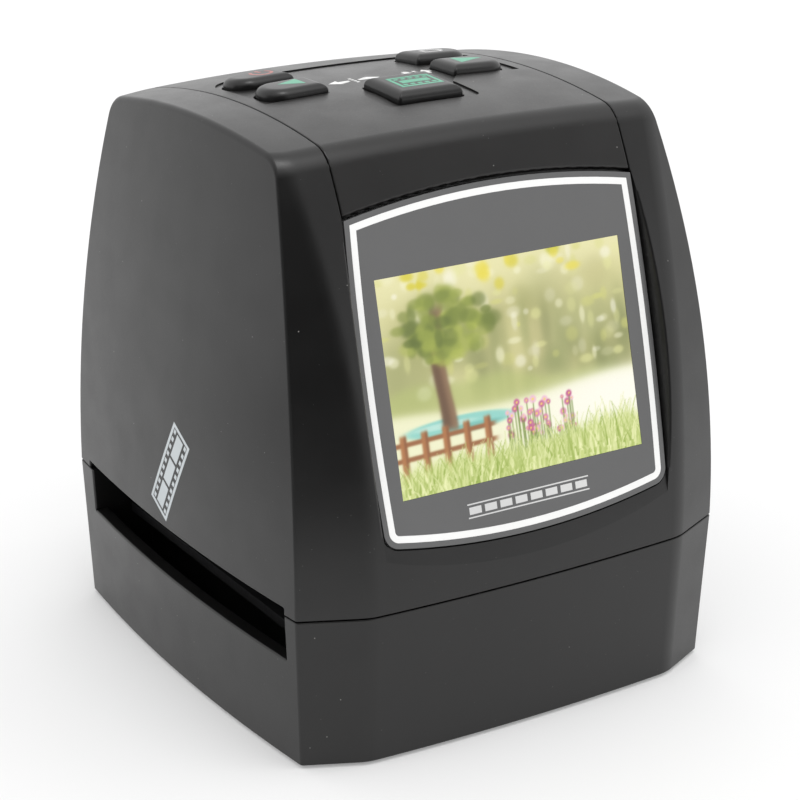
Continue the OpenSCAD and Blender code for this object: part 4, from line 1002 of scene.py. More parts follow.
def smooth_below(ob, angle):
    """Smooth shading, with sharp edges above an angle."""
    me = ob.data
    me.shade_smooth()
    me.set_sharp_from_angle(angle=math.radians(angle))


def cap_frame(b):
    """Middle of a button on the crown, and the turn from level axes to those of its cap."""
    slope, lean = math.asin((b[1] - CROWN_Y) / CROWN_ARC), math.asin(b[0] / CROWN_PLAN)
    turn = Matrix.Rotation(lean, 3, "Y") @ Matrix.Rotation(-slope, 3, "X")
    return Vector((b[0], b[1], crown_z(b[0], b[1]))), turn


def on_cap(b, px, py, h):
    """A place on a button's own axes, given by its plan place on the level cover and a height."""
    middle, turn = cap_frame(b)
    return tuple(middle + turn @ Vector((px - b[0], py - b[1], h)))


def cap_top(b, px, py):
    """Height of a cap's slightly crowned top above the cover."""
    half = (b[2] / 2 - BEVEL, b[3] / 2 - BEVEL)
    s = min(1.0, max(abs(px - b[0]) / half[0], abs(py - b[1]) / half[1]))
    return BUTTON_RISE + CAP_CROWN * (1 - s * s)


def build_button(key, b):
    corner = (abs(b[0]) + b[2] / 2, CROWN_Y + abs(b[1] - CROWN_Y) + b[3] / 2)
    flange = crown_z(*corner) - COVER_T - 0.3
    outline = button_outline(b)
    rings = [[(x, y, flange - 0.5) for x, y in outline],
             [on_cap(b, x, y, -0.35) for x, y in outline],
             [on_cap(b, x, y, CAP_FOOT) for x, y in outline]]
    # Rounded side: steep at its foot, running softly into the top
    for k in range(1, 13):
        t = math.pi / 2 * k / 12
        inward, h = BEVEL * (1 - math.cos(t)) ** 0.9, CAP_FOOT + (BUTTON_RISE - CAP_FOOT) * math.sin(t)
        rings.append([on_cap(b, x, y, h) for x, y in button_outline(b, -inward)])
    inner = button_outline(b, -BEVEL)
    for s in (0.94, 0.8, 0.6, 0.4, 0.2):
        h = BUTTON_RISE + CAP_CROWN * (1 - s * s)
        rings.append([on_cap(b, b[0] + (x - b[0]) * s, b[1] + (y - b[1]) * s, h) for x, y in inner])
    cap = ring_stack(key + "_cap", rings)
    combine(cap, [prism("flange", button_outline(b, 0.6), flange - 1.0, flange),
                  rod("stem", *STEM[key], 1.6, 98.9, flange - 0.7, 32)], "UNION")
    smooth_below(cap, 38)
    return cap


caps = {key: build_button(key, b) for key, b in BUTTONS.items()}


# ------------------------------------------------------------------ printed marks

def clean_shape(polys, longest):
    """Flat triangles over a set of outlines, cut finely enough to follow a curved surface."""
    bm = bmesh.new()
    for poly in polys:
        bm.faces.new([bm.verts.new((x, y, 0)) for x, y in poly])
    bmesh.ops.triangulate(bm, faces=bm.faces)
    for _ in range(6):
        long = [e for e in bm.edges if e.calc_length() > longest]
        if not long:
            break
        bmesh.ops.subdivide_edges(bm, edges=long, cuts=1)
        bmesh.ops.triangulate(bm, faces=bm.faces)
    bmesh.ops.remove_doubles(bm, verts=bm.verts, dist=1e-5)
    bm.verts.ensure_lookup_table()
    pts = [(v.co.x, v.co.y) for v in bm.verts]
    tris = []
    for f in bm.faces:
        if f.calc_area() < 1e-9:
            continue
        ids = [v.index for v in f.verts]
        tris.append(ids if f.normal.z > 0 else ids[::-1])
    bm.free()
    count = {}
    for t in tris:
        for i in range(3):
            e = (t[i], t[(i + 1) % 3])
            count[e] = count.get(e, 0) + 1
    rim = [e for e in count if (e[1], e[0]) not in count]
    return pts, tris, rim


def print_mark(name, polys, place, longest=1.2, rise=0.012, sunk=0.03):
    """A thin printed mark whose plane shape is laid on a surface by place(x, y) -> point, normal."""
    pts, tris, rim = clean_shape(polys, longest)
    m = len(pts)
    spots = [place(x, y) for x, y in pts]
    verts = [tuple(Vector(p) + Vector(n) * lift) for lift in (rise, -sunk) for p, n in spots]
    faces = [tuple(t) for t in tris] + [tuple(i + m for i in t[::-1]) for t in tris]
    faces += [(b, a, a + m, b + m) for a, b in rim]
    ob = solid(name, verts, faces)
    right_way_out(ob)
    smooth_below(ob, 30)
    return ob


def arc_band(r0, r1, a0, a1, count=24):
    """Pieces of a ring between two radii and two angles in degrees."""
    turns = [math.radians(a0 + (a1 - a0) * i / count) for i in range(count + 1)]
    inner, outer_pts = [[(r * math.cos(a), r * math.sin(a)) for a in turns] for r in (r0, r1)]
    return [[inner[i], inner[i + 1], outer_pts[i + 1], outer_pts[i]] for i in range(count)]


def box2(x0, y0, x1, y1):
    return [(x0, y0), (x1, y0), (x1, y1), (x0, y1)]


def frame2(x0, y0, x1, y1, w):
    a, b = box2(x0, y0, x1, y1), box2(x0 + w, y0 + w, x1 - w, y1 - w)
    return [[a[i], a[(i + 1) % 4], b[(i + 1) % 4], b[i]] for i in range(4)]


def arrow(x0, y0, x1, y1, w, head):
    """Arrow from one place to another, as one outline."""
    t = Vector((x1 - x0, y1 - y0)).normalized()
    n = Vector((-t.y, t.x))
    a, b = Vector((x0, y0)), Vector((x1, y1))
    neck = b - t * head * 1.5
    return [tuple(p) for p in (a - n * w / 2, neck - n * w / 2, neck - n * head, b, neck + n * head,
                               neck + n * w / 2, a + n * w / 2)]


def on_button(key):
    b = BUTTONS[key]
    up = cap_frame(b)[1] @ Vector((0, 0, 1))

    def place(x, y):
        return Vector(on_cap(b, b[0] + x, b[1] + y, cap_top(b, b[0] + x, b[1] + y))), up
    return place


def on_panel(x, y):
    return (x, y, crown_z(x, y, PANEL_SUNK)), crown_normal(x, y)


def on_left_side(y, z):
    p, n = side_at(y, z, 0.0)
    return (-p[0], p[1], p[2]), (-n[0], n[1], n[2])


def on_bezel(x, v):
    return on_screen((x, v, 0)), screen_way((0, 0, 1))


marks = []


def mark(name, polys, place, body, finish, **how):
    marks.append((print_mark(name, polys, place, **how), body, finish))


# Arrows on the two outer buttons
mark("left_arrow_mark", [[(-1.8, 0.5), (2.6, -1.7), (2.6, 2.4)]], on_button("left"), "left_key", "green")
mark("right_arrow_mark", [[(2.9, 0.4), (-2.7, 2.3), (-2.9, -2.0)]], on_button("right"), "right_key",
     "green")

# A film frame with its perforations on the scan button
film = frame2(-3.9, -2.9, 4.5, 2.9, 0.6)
film += [box2(-3.0 + i * 1.45, s * 1.65 - 0.34, -2.15 + i * 1.45, s * 1.65 + 0.34)
         for i in range(5) for s in BOTH]
film += [box2(-2.6, -0.8, 3.2, 0.8)]
mark("scan_film_mark", film, on_button("scan"), "scan_key", "green")

# An open ring and a bar on the power button, and stacked frames on the mode button
ring = arc_band(1.65, 2.2, 135, 405) + [box2(-0.3, 0.3, 0.3, 2.5)]
mark("power_ring_mark", [[(x + 1.4, y + 0.2) for x, y in q] for q in ring], on_button("power"),
     "power_key", "red")
mode = frame2(-2.6, -1.7, 1.2, 0.9, 0.4)
mode.append([(-1.4, 1.3), (1.6, 1.3), (1.6, -0.5), (2.0, -0.5), (2.0, 1.7), (-1.4, 1.7)])
mark("mode_frames_mark", mode, on_button("mode"), "mode_key", "pale")

# On the cover: turn left for right, and turn upside down
flip_a = [arrow(-0.9, 0, -5.2, 0, 0.85, 1.45), arrow(0.9, 0, 5.2, 0, 0.85, 1.45)]
flip_a += [box2(-0.28, -1.75 + i * 1.0, 0.28, -1.15 + i * 1.0) for i in range(4)]
mark("mirror_mark", flip_a, lambda x, y: on_panel(x - 4.65, y + 4.2), "scanner", "white")
flip_b = [arrow(-1.9, 1.6, -1.9, -1.6, 0.85, 1.25), arrow(1.9, -1.6, 1.9, 1.6, 0.85, 1.25)]
flip_b += [box2(-0.35, -1.5 + i * 1.1, 0.35, -0.9 + i * 1.1) for i in range(3)]
mark("flip_mark", flip_b, lambda x, y: on_panel(x + 8.2, y + 4.0), "scanner", "white")

# Below the picture: a row of film frames between two thin lines
row = [box2(-12.4, -1.25, 12.4, -1.02), box2(-12.4, 1.02, 12.4, 1.25)]
row += [box2(-12.1 + i * 3.1, -0.62, -9.7 + i * 3.1, 0.62) for i in range(8)]
mark("film_row_mark", row, lambda x, v: on_bezel(x, v - 4.3), "scanner", "pale")

# On the left side: a strip of film that slants by 62 degrees
SLANT = (math.cos(math.radians(62)), math.sin(math.radians(62)))
side_film = frame2(-9.5, -3.3, 9.5, 3.3, 0.65)
side_film += [box2(-8.5 + i * 1.8, s * 2.1 - 0.36, -7.6 + i * 1.8, s * 2.1 + 0.36)
              for i in range(10) for s in BOTH]
side_film += [box2(-8.4 + i * 5.8, -1.2, -3.2 + i * 5.8, 1.2) for i in range(3)]
side_film = [[(x * SLANT[0] - y * SLANT[1], x * SLANT[1] + y * SLANT[0]) for x, y in p]
             for p in side_film]
# Seen from outside the left side, +Y runs to the left
mark("side_film_mark", [[(-x, y) for x, y in p][::-1] for p in side_film],
     lambda y, z: on_left_side(y - 0.5, z + 40.6), "scanner", "pale_blue", longest=1.0)


# ------------------------------------------------------------------ picture on the display

def linear(c):
    """Linear light from sRGB."""
    return np.where(c <= 0.04045, c / 12.92, ((c + 0.055) / 1.055) ** 2.4)


def paint_picture(nu, nv):
    """A sunny meadow with trees behind, a pond, a fence and flowers, as sRGB colours."""
    rng = np.random.RandomState(11)
    u, v = np.meshgrid(np.linspace(0, 1, nu), np.linspace(0, 1, nv))
    img = np.zeros((nv, nu, 3))

    def blend(mask, colour):
        img[:] = img * (1 - mask[..., None]) + np.array(colour) * mask[..., None]

    def soft(x, edge, width):
        return 1 / (1 + np.exp(np.clip(-(x - edge) / width, -60, 60)))

    def blob(cu, cv, ru, rv, colour, alpha, hard):
        d = np.sqrt(((u - cu) / ru) ** 2 + ((v - cv) / rv) ** 2)
        blend(alpha * soft(-d, -1, hard), colour)

    def dabs(count, cus, cvs, rus, rvs, colours, alphas, hard):
        for _ in range(count):
            spot = [rng.uniform(*limits) for limits in (cus, cvs, rus, rvs)]
            blob(*spot, colours[rng.randint(len(colours))], rng.uniform(*alphas), hard)

    # Haze of leaves and sky
    img[:] = (0.80, 0.79, 0.58)
    blend(soft(v, 0.80, 0.08), (0.93, 0.91, 0.70))
    dabs(70, (0, 1), (0.38, 0.86), (0.04, 0.12), (0.05, 0.16),
         [(0.66, 0.66, 0.42), (0.74, 0.72, 0.50), (0.60, 0.62, 0.40), (0.86, 0.84, 0.60)], (0.25, 0.55), 0.22)
    dabs(26, (0.3, 1), (0.34, 0.72), (0.015, 0.04), (0.06, 0.17),
         [(0.50, 0.55, 0.32), (0.58, 0.60, 0.38), (0.47, 0.50, 0.30)], (0.2, 0.45), 0.3)
    dabs(120, (0, 1), (0.45, 1.0), (0.008, 0.03), (0.010, 0.04),
         [(0.97, 0.96, 0.82), (0.90, 0.90, 0.62), (0.99, 0.98, 0.92), (0.84, 0.84, 0.48)], (0.2, 0.6), 0.16)
    dabs(16, (0.05, 0.95), (0.88, 1.0), (0.01, 0.03), (0.012, 0.035),
         [(0.85, 0.80, 0.20), (0.92, 0.86, 0.30), (0.74, 0.74, 0.16)], (0.5, 0.85), 0.18)
    # Hills and the bright far meadow
    hill = 0.44 + 0.05 * np.sin(u * 4.2 + 0.6) + 0.015 * np.sin(u * 17)
    blend(soft(hill - v, 0, 0.012) * 0.65, (0.72, 0.76, 0.46))
    far = 0.36 + 0.02 * np.sin(u * 6 + 2)
    blend(soft(far - v, 0, 0.010), (0.95, 0.95, 0.80))
    blend(soft(far - v, 0, 0.02) * soft(u, 0.55, 0.1), (1.0, 0.99, 0.94))
    # Pond
    blob(0.26, 0.285, 0.22, 0.042, (0.56, 0.83, 0.79), 0.95, 0.05)
    blob(0.20, 0.295, 0.12, 0.014, (0.80, 0.93, 0.88), 0.7, 0.12)
    blob(0.33, 0.272, 0.10, 0.010, (0.42, 0.70, 0.66), 0.5, 0.12)
    # Tree with a leaning trunk
    axis = 0.205 + 0.05 * (v - 0.3) + 0.02 * np.sin(v * 7)
    width = 0.026 + 0.03 * np.clip(0.42 - v, 0, 0.2)
    trunk = soft(width - np.abs(u - axis), 0, 0.0035) * soft(v, 0.27, 0.008) * soft(0.82 - v, 0, 0.02)
    blend(trunk, (0.42, 0.31, 0.22))
    blend(trunk * soft(u - axis, 0.006, 0.006) * 0.6, (0.66, 0.53, 0.40))
    for _ in range(90):
        a, r = rng.uniform(0, 6.283), rng.uniform(0, 1) ** 0.6
        shade = rng.uniform(0, 1)
        blob(0.25 + 0.19 * r * math.cos(a), 0.74 + 0.15 * r * math.sin(a), rng.uniform(0.016, 0.04),
             rng.uniform(0.018, 0.045), (0.36 + 0.38 * shade, 0.42 + 0.36 * shade, 0.16 + 0.18 * shade),
             rng.uniform(0.45, 0.85), 0.14)
    # Fence of brown boards in the near left
    for lift in (0.175, 0.245):
        rail = soft(0.011 - np.abs(v - lift - 0.03 * u), 0, 0.002) * soft(0.40 - u, 0, 0.006)
        blend(rail, (0.62, 0.40, 0.24))
    for k in range(5):
        cu = 0.03 + k * 0.085
        post = soft(0.013 - np.abs(u - cu), 0, 0.002) * soft(0.285 + 0.03 * cu - v, 0, 0.004)
        blend(post, (0.70, 0.46, 0.27))
        blend(post * soft(u - cu, 0.003, 0.002) * 0.55, (0.45, 0.27, 0.15))
    # Flowers
    for _ in range(46):
        cu, cv = rng.uniform(0.44, 0.74), rng.uniform(0.16, 0.33)
        size = rng.uniform(0.007, 0.014)
        pick = [(0.86, 0.52, 0.68), (0.95, 0.74, 0.84), (0.78, 0.38, 0.58)][rng.randint(3)]
        stalk = soft(0.0022 - np.abs(u - cu), 0, 0.0008) * soft(cv - v, 0, 0.004)
        blend(stalk * 0.8, (0.42, 0.52, 0.20))
        blob(cu, cv, size, size * 1.33, pick, 0.9, 0.10)
        blob(cu, cv, size * 0.35, size * 0.45, (0.98, 0.86, 0.40), 0.9, 0.12)
    # Grass: a soft bank, then single blades
    bank = 0.10 + 0.045 * u + 0.02 * np.sin(u * 9)
    blend(soft(bank - v, 0, 0.016), (0.80, 0.85, 0.52))
    for _ in range(900):
        cu = rng.uniform(-0.02, 1.02)
        root = rng.uniform(-0.06, 0.05) + 0.03 * cu
        tall = rng.uniform(0.05, 0.17) * (0.75 + 0.5 * cu)
        lean = rng.uniform(-0.05, 0.05)
        shade = rng.uniform(0, 1) ** 0.8
        f = np.clip((v - root) / tall, 0, 1)
        w = 0.0034 * (1 - f) + 0.0006
        blade = soft(w - np.abs(u - cu - lean * f * f), 0, 0.0007) * (v > root) * (v < root + tall)
        blend(blade * 0.9, (0.56 + 0.40 * shade, 0.66 + 0.31 * shade, 0.24 + 0.50 * shade))
    return np.clip(img, 0, 1)


def build_picture():
    """A thin slab just below the screen's glass, whose front carries the picture's colours."""
    nu, nv = 265, 199
    img = linear(paint_picture(nu, nv))
    x = np.linspace(-PIC_W / 2 + 0.03, PIC_W / 2 - 0.03, nu)
    v = np.linspace(0.03, PIC_H - 0.03, nv)
    verts = [on_screen((a, b, -0.10)) for b in v for a in x]
    faces = grid_faces(nu, nv)
    rim = list(range(nu)) + [j * nu + nu - 1 for j in range(1, nv)]
    rim += [(nv - 1) * nu + i for i in range(nu - 2, -1, -1)] + [j * nu for j in range(nv - 2, 0, -1)]
    m, n = len(verts), len(rim)
    verts += [on_screen((x[i % nu], v[i // nu], -0.14)) for i in rim]
    faces += [(rim[(i + 1) % n], rim[i], m + i, m + (i + 1) % n) for i in range(n)]
    faces.append(tuple(range(m + n - 1, m - 1, -1)))
    ob = solid("display_picture", verts, faces)
    layer = ob.data.color_attributes.new("picture", "FLOAT_COLOR", "POINT")
    data = np.ones((len(verts), 4))
    data[:m, :3] = img.reshape(-1, 3)
    data[m:, :3] = 0.02
    layer.data.foreach_set("color", data.ravel())
    return ob


picture = build_picture()


# ------------------------------------------------------------------ materials

def maths(tree, operation, a, b):
    """A math node over a socket and another socket or a number."""
    node = tree.nodes.new("ShaderNodeMath")
    node.operation = operation
    tree.links.new(a, node.inputs[0])
    if isinstance(b, float):
        node.inputs[1].default_value = b
    else:
        tree.links.new(b, node.inputs[1])
    return node.outputs[0]


class Nodes:
    """Small helper to put a node material together."""

    def __init__(self, name):
        self.mat = bpy.data.materials.new(name)
        self.mat.use_nodes = True
        self.tree = self.mat.node_tree
        self.shader = self.tree.nodes["Principled BSDF"]
        self.coords = self.tree.nodes.new("ShaderNodeTexCoord").outputs["Object"]

    def add(self, kind, **values):
        node = self.tree.nodes.new(kind)
        for key, value in values.items():
            setattr(node, key, value)
        return node

    def link(self, a, b):
        self.tree.links.new(a, b)

    def noise(self, scale, detail=3.0, rough=0.5):
        node = self.add("ShaderNodeTexNoise")
        node.inputs["Scale"].default_value = scale
        node.inputs["Detail"].default_value = detail
        node.inputs["Roughness"].default_value = rough
        self.link(self.coords, node.inputs["Vector"])
        return node.outputs["Fac"]

    def specks(self, scale, size):
        node = self.add("ShaderNodeTexVoronoi")
        node.inputs["Scale"].default_value = scale
        self.link(self.coords, node.inputs["Vector"])
        return self.remap(node.outputs["Distance"], size, size * 0.6, 0.0, 1.0)

    def remap(self, value, a, b, c, d):
        """Maps the range a to b onto c to d."""
        node = self.add("ShaderNodeMapRange")
        for i, x in enumerate((a, b, c, d)):
            node.inputs[i + 1].default_value = x
        self.link(value, node.inputs[0])
        return node.outputs[0]

    def mix(self, fac, a, b):
        node = self.add("ShaderNodeMix", data_type="RGBA")
        self.link(fac, node.inputs[0])
        for socket, value in ((node.inputs[6], a), (node.inputs[7], b)):
            if isinstance(value, tuple):
                socket.default_value = value + (1.0,)
            else:
                self.link(value, socket)
        return node.outputs[2]

    def times(self, a, b):
        return maths(self.tree, "MULTIPLY", a, b)

    def plus(self, a, b):
        return maths(self.tree, "ADD", a, b)

    def bump(self, heights):
        """Bumps from (height, depth in metres) pairs."""
        last = None
        for height, depth in heights:
            node = self.add("ShaderNodeBump")
            node.inputs["Strength"].default_value = 1.0
            node.inputs["Distance"].default_value = depth
            self.link(height, node.inputs["Height"])
            if last is not None:
                self.link(last, node.inputs["Normal"])
            last = node.outputs["Normal"]
        self.link(last, self.shader.inputs["Normal"])

    def colour(self, value):
        self.link(value, self.shader.inputs["Base Color"])

    def gloss(self, value, low, high, a=0.3, b=0.7):
        """Roughness from low to high over the range a to b of a value."""
        self.link(self.remap(value, a, b, low, high), self.shader.inputs["Roughness"])

    def set(self, **values):
        for key, value in values.items():
            self.shader.inputs[key.replace("_", " ")].default_value = value
        return self


def grained(name, dark, light, rough=(0.36, 0.46), grain=5200.0, depth=4e-6, dust=0.55, **extra):
    """Moulded plastic: fine grain, soft unevenness of tone and gloss, and a few specks of dust."""
    n = Nodes(name)
    tone = n.mix(n.remap(n.noise(60.0, 4.0), 0.3, 0.7, 0.0, 1.0), dark, light)
    fine = n.noise(grain, 2.0, 0.6)
    if dust:
        specks = n.times(n.plus(n.specks(240.0, 0.030), n.specks(650.0, 0.034)), dust)
        tone = n.mix(specks, tone, (0.42, 0.42, 0.40))
    n.colour(tone)
    n.gloss(n.plus(n.times(n.noise(130.0, 3.0), 0.6), n.times(fine, 0.4)), *rough, 0.35, 0.65)
    n.bump([(fine, depth), (n.noise(420.0, 3.0), depth * 0.8)])
    return n.set(**extra).mat


def printed(name, dark, light, rough=(0.4, 0.5)):
    """Printing ink."""
    return grained(name, dark, light, rough, dust=0.0, depth=2e-6)


def flat_plastic(name, dark, light, rough, depth=3e-6, **extra):
    """Plain material of the inner parts, slightly uneven in tone and gloss."""
    n = Nodes(name)
    n.colour(n.mix(n.noise(90.0, 4.0), dark, light))
    n.gloss(n.noise(900.0), *rough)
    n.bump([(n.noise(1800.0, 3.0), depth)])
    return n.set(**extra).mat


def make_board():
    """Circuit board with a fine pattern of tracks."""
    n = Nodes("board_green")
    brick = n.add("ShaderNodeTexBrick")
    brick.inputs["Scale"].default_value = 420.0
    brick.inputs["Mortar Size"].default_value = 0.03
    n.link(n.coords, brick.inputs["Vector"])
    tracks = n.remap(brick.outputs["Fac"], 0.0, 1.0, 0.0, 0.8)
    base = n.mix(n.noise(200.0, 4.0), (0.012, 0.085, 0.040), (0.018, 0.115, 0.055))
    n.colour(n.mix(tracks, base, (0.03, 0.19, 0.09)))
    n.gloss(n.noise(800.0), 0.22, 0.34)
    n.bump([(tracks, 2e-5)])
    return n.mat


def make_metal():
    """Brushed steel, its lines along the pieces' own Z."""
    n = Nodes("bright_steel")
    stretch = n.add("ShaderNodeMapping")
    stretch.inputs["Scale"].default_value = (1.0, 1.0, 14.0)
    n.link(n.coords, stretch.inputs["Vector"])
    lines = n.add("ShaderNodeTexNoise")
    lines.inputs["Scale"].default_value = 700.0
    n.link(stretch.outputs["Vector"], lines.inputs["Vector"])
    n.colour(n.mix(n.noise(300.0), (0.58, 0.58, 0.60), (0.70, 0.70, 0.71)))
    n.gloss(lines.outputs["Fac"], 0.22, 0.38)
    n.bump([(lines.outputs["Fac"], 2e-6)])
    return n.set(Metallic=1.0).mat


def make_picture():
    """The lit display: the picture's colours, faintly broken up as pixels are."""
    n = Nodes("display_image")
    attr = n.add("ShaderNodeVertexColor", layer_name="picture")
    pixels = n.noise(9000.0, 1.0)
    glow = n.mix(n.remap(pixels, 0.3, 0.7, 0.0, 0.06), attr.outputs["Color"], (0.0, 0.0, 0.0))
    n.link(glow, n.shader.inputs["Emission Color"])
    n.colour(n.mix(pixels, (0.006, 0.006, 0.007), (0.010, 0.010, 0.011)))
    n.gloss(n.noise(500.0), 0.16, 0.22)
    return n.set(Emission_Strength=1.0).mat


def make_glass():
    n = Nodes("lens_glass")
    n.colour(n.mix(n.noise(150.0), (0.82, 0.90, 0.92), (0.90, 0.93, 0.95)))
    n.gloss(n.noise(900.0), 0.02, 0.05)
    return n.set(Transmission_Weight=0.85, IOR=1.5).mat


def make_led():
    """Yellow phosphor of the white LEDs."""
    n = Nodes("led_resin")
    n.colour(n.mix(n.noise(900.0), (0.86, 0.78, 0.32), (0.93, 0.88, 0.52)))
    n.gloss(n.noise(1500.0), 0.2, 0.3)
    return n.set(Coat_Weight=0.4).mat


finishes = {
    "casing": grained("casing_plastic", (0.0062, 0.0060, 0.0060), (0.0080, 0.0077, 0.0076),
                      (0.30, 0.38), grain=3600.0, depth=6e-6),
    "cover": grained("cover_plastic", (0.0068, 0.0064, 0.0062), (0.0088, 0.0082, 0.0079),
                     (0.31, 0.39), grain=3000.0, depth=9e-6, dust=0.7),
    "buttons": grained("button_plastic", (0.0060, 0.0058, 0.0058), (0.0078, 0.0075, 0.0074),
                       (0.30, 0.38), grain=4600.0, depth=2e-6, dust=0.25),
    "bezel": grained("bezel_gloss", (0.098, 0.098, 0.099), (0.105, 0.105, 0.106), (0.20, 0.25),
                     grain=2500.0, depth=8e-7, dust=0.12, Coat_Weight=0.25, Coat_Roughness=0.12),
    "trim": grained("trim_white", (0.86, 0.86, 0.85), (0.90, 0.90, 0.89), (0.32, 0.42),
                    depth=1.5e-6, dust=0.0),
    "display": flat_plastic("display_black", (0.010, 0.011, 0.013), (0.014, 0.015, 0.018), (0.08, 0.14)),
    "inner_black": flat_plastic("inner_black", (0.008, 0.008, 0.009), (0.014, 0.014, 0.015), (0.5, 0.65)),
    "white_plastic": flat_plastic("inner_white", (0.66, 0.65, 0.62), (0.74, 0.73, 0.70), (0.42, 0.55)),
    "opal": flat_plastic("opal", (0.78, 0.80, 0.78), (0.85, 0.86, 0.84), (0.3, 0.4), Subsurface_Weight=0.1),
    "board": make_board(),
    "led": make_led(),
    "chips": flat_plastic("chip_resin", (0.010, 0.010, 0.011), (0.020, 0.020, 0.021), (0.55, 0.7),
                          depth=8e-6),
    "steel": make_metal(),
    "lens_glass": make_glass(),
    "rubber": flat_plastic("feet_rubber", (0.010, 0.010, 0.010), (0.018, 0.018, 0.018), (0.7, 0.85),
                           depth=1e-5),
    "green": printed("print_green", (0.075, 0.34, 0.215), (0.095, 0.38, 0.245), (0.38, 0.5)),
    "red": printed("print_red", (0.40, 0.13, 0.12), (0.47, 0.17, 0.155), (0.38, 0.5)),
    "white": printed("print_white", (0.70, 0.70, 0.69), (0.78, 0.78, 0.77)),
    "pale": printed("print_pale", (0.60, 0.60, 0.60), (0.68, 0.68, 0.67)),
    "pale_blue": printed("print_pale_blue", (0.55, 0.59, 0.61), (0.61, 0.65, 0.67)),
}


slots = {p["node"]: p["material_slot"] for p in frame["record"]["subparts"]}
for node, ob in frame["nodes"].items():
    places = len(ob.data.materials)
    for i in range(places):
        ob.data.materials[i] = finishes[slots[node]]
    if not places:
        ob.data.materials.append(finishes[slots[node]])


# ------------------------------------------------------------------ what rides on what

def install(ob, body, finish, slot, *nodes):
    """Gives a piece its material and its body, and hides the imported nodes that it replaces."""
    ob.data.materials.clear()
    ob.data.materials.append(finishes[finish])
    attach(ob, body)
    if nodes:
        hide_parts(*nodes)


install(upper, "scanner", "casing", "casing", "upper_housing")
install(base, "scanner", "casing", "casing", "base_housing")
install(cover, "scanner", "cover", "cover", "top_cover")
for key, cap in caps.items():
    install(cap, key + "_key", "buttons", "buttons", key + "_button")
for ob, body, finish in marks:
    install(ob, body, finish, "buttons" if body != "scanner" else "casing")
picture.data.materials.append(make_picture())
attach(picture, "scanner")


# ------------------------------------------------------------------ floor, light and camera

def camera_sees(tree):
    """1 for what the camera, a reflection or a transmitted ray sees, 0 for light on the object."""
    path = tree.nodes.new("ShaderNodeLightPath").outputs
    sees = maths(tree, "MAXIMUM", path["Is Camera Ray"], path["Is Glossy Ray"])
    return maths(tree, "MAXIMUM", sees, path["Is Transmission Ray"])


def emptied(owner):
    """The node tree of a material or world, without nodes."""
    owner.use_nodes = True
    owner.node_tree.nodes.clear()
    return owner.node_tree


def shade(tree, kind, tone, strength=None):
    """A grey shader of a kind."""
    node = tree.nodes.new(kind)
    node.inputs["Color"].default_value = (tone, tone, tone, 1)
    if strength is not None:
        node.inputs["Strength"].default_value = strength
    return node


def stage_sheet(name, points, across, material):
    """A piece of the stage: rows of points in metres, with so many across."""
    me = bpy.data.meshes.new(name)
    me.from_pydata(points, [], grid_faces(across, len(points) // across))
    me.materials.append(material)
    return put(name, me)


# What is seen of the floor is 0.23 lighter than the light that it gives back to the part
FLOOR_SIZE, FLOOR_STEPS = 30.0, 24
white = bpy.data.materials.new("floor_white")
tree = emptied(white)
glow = shade(tree, "ShaderNodeEmission", 1)
tree.links.new(maths(tree, "MULTIPLY", camera_sees(tree), 0.23), glow.inputs["Strength"])
both = tree.nodes.new("ShaderNodeAddShader")
tree.links.new(glow.outputs[0], both.inputs[0])
tree.links.new(shade(tree, "ShaderNodeBsdfDiffuse", 0.62).outputs[0], both.inputs[1])
out = tree.nodes.new("ShaderNodeOutputMaterial")
tree.links.new(both.outputs[0], out.inputs["Surface"])
line = [-FLOOR_SIZE / 2 + FLOOR_SIZE * i / FLOOR_STEPS for i in range(FLOOR_STEPS + 1)]
floor = stage_sheet("floor", [(x, y, 0.0) for y in line for x in line], len(line), white)


def studio_card(name, profile, width, place, turn, tone):
    """A bent card that only reflections see: its profile is swept over a width."""
    mat = bpy.data.materials.new(name)
    mat.use_nodes = True
    shader = mat.node_tree.nodes["Principled BSDF"]
    shader.inputs["Base Color"].default_value = (tone, tone, tone, 1)
    shader.inputs["Roughness"].default_value = 0.9
    points = [(width * (i / 12 - 0.5), y, z) for y, z in profile for i in range(13)]
    ob = stage_sheet(name, points, 13, mat)
    ob.matrix_world = Matrix.Translation(place) @ Matrix.Rotation(math.radians(turn), 4, "Z")
    ob.visible_camera = ob.visible_diffuse = ob.visible_shadow = ob.visible_transmission = False


# Dark and grey cards of the studio, which the front left corner and the top of the front mirror
bend = [(-0.16 * math.sin(t), 0.163 - 0.16 * math.cos(t)) for t in [math.pi / 2 * i / 8 for i in range(9)]]
studio_card("dark_card", [(0.31, 0.003)] + bend + [(-0.16, 0.9)], 1.0, (-0.36, -0.45, 0), -16, 0.012)
studio_card("left_card", [(0.3, 0.002)] + bend + [(-0.16, 0.6)], 0.62, (-0.45, -0.16, 0), -90, 0.22)
studio_card("grey_card", [(0.0, 0.0), (-0.02, 0.15), (0.0, 0.32), (0.06, 0.52)], 0.56,
            (0.42, -0.62, 0.34), 33, 0.42)

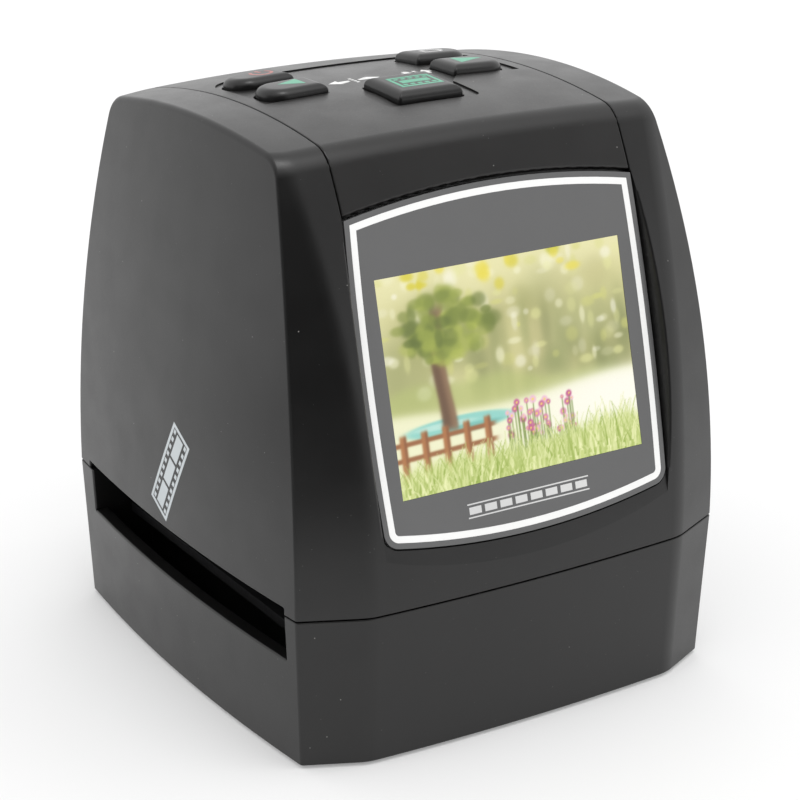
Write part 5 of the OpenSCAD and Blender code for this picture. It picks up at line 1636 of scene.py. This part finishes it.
# A plain white world: 1.15 for the light on the part, 1 for what is seen
world = bpy.data.worlds.new("studio")
bpy.context.scene.world = world
tree = emptied(world)
pick = tree.nodes.new("ShaderNodeMixShader")
tree.links.new(camera_sees(tree), pick.inputs[0])
for i, strength in ((1, 1.15), (2, 1.0)):
    tree.links.new(shade(tree, "ShaderNodeBackground", 1, strength).outputs[0], pick.inputs[i])
out = tree.nodes.new("ShaderNodeOutputWorld")
tree.links.new(pick.outputs[0], out.inputs["Surface"])


def softbox(name, place, target, size, power):
    light = bpy.data.lights.new(name, "AREA")
    light.shape = "RECTANGLE"
    light.size, light.size_y = size
    light.energy = power
    ob = put(name, light)
    ob.location = place
    ob.rotation_euler = (Vector(target) - Vector(place)).to_track_quat("-Z", "Y").to_euler()


softbox("top_softbox", (0.03, -0.14, 1.05), (0, 0, 0.05), (0.34, 0.34), 2.2)
softbox("key_softbox", (0.45, -0.45, 1.05), (0, 0, 0.05), (0.8, 0.5), 0.7)
softbox("rear_softbox", (0.45, 0.85, 0.42), (0, 0, 0.06), (0.8, 0.6), 0.45)
softbox("left_softbox", (-0.95, 0.35, 0.30), (0, 0, 0.06), (0.5, 0.6), 0.25)

# The photo's camera: its focal length in pixels of a photo of 800, its angles and its place
FOCAL, PHOTO, SENSOR = 2407.1, 800, 36.0
camera = bpy.data.cameras.new("camera")
camera.sensor_width = SENSOR
camera.lens = FOCAL / PHOTO * SENSOR
camera.clip_start, camera.clip_end = 0.01, 100.0
yaw, pitch, roll = math.radians(-31.92), math.radians(20.87), math.radians(0.27)
look = Vector((-math.sin(yaw) * math.cos(pitch), math.cos(yaw) * math.cos(pitch), -math.sin(pitch)))
level = Vector((math.cos(yaw), math.sin(yaw), 0))
upright = level.cross(look)
right = level * math.cos(roll) + upright * math.sin(roll)
up = upright * math.cos(roll) - level * math.sin(roll)
view = put("camera", camera)
view.matrix_world = Matrix(((right.x, up.x, -look.x, -0.2169), (right.y, up.y, -look.y, -0.3523),
                            (right.z, up.z, -look.z, 0.2028), (0, 0, 0, 1)))
bpy.context.scene.camera = view
bpy.context.scene.view_settings.view_transform = "Standard"
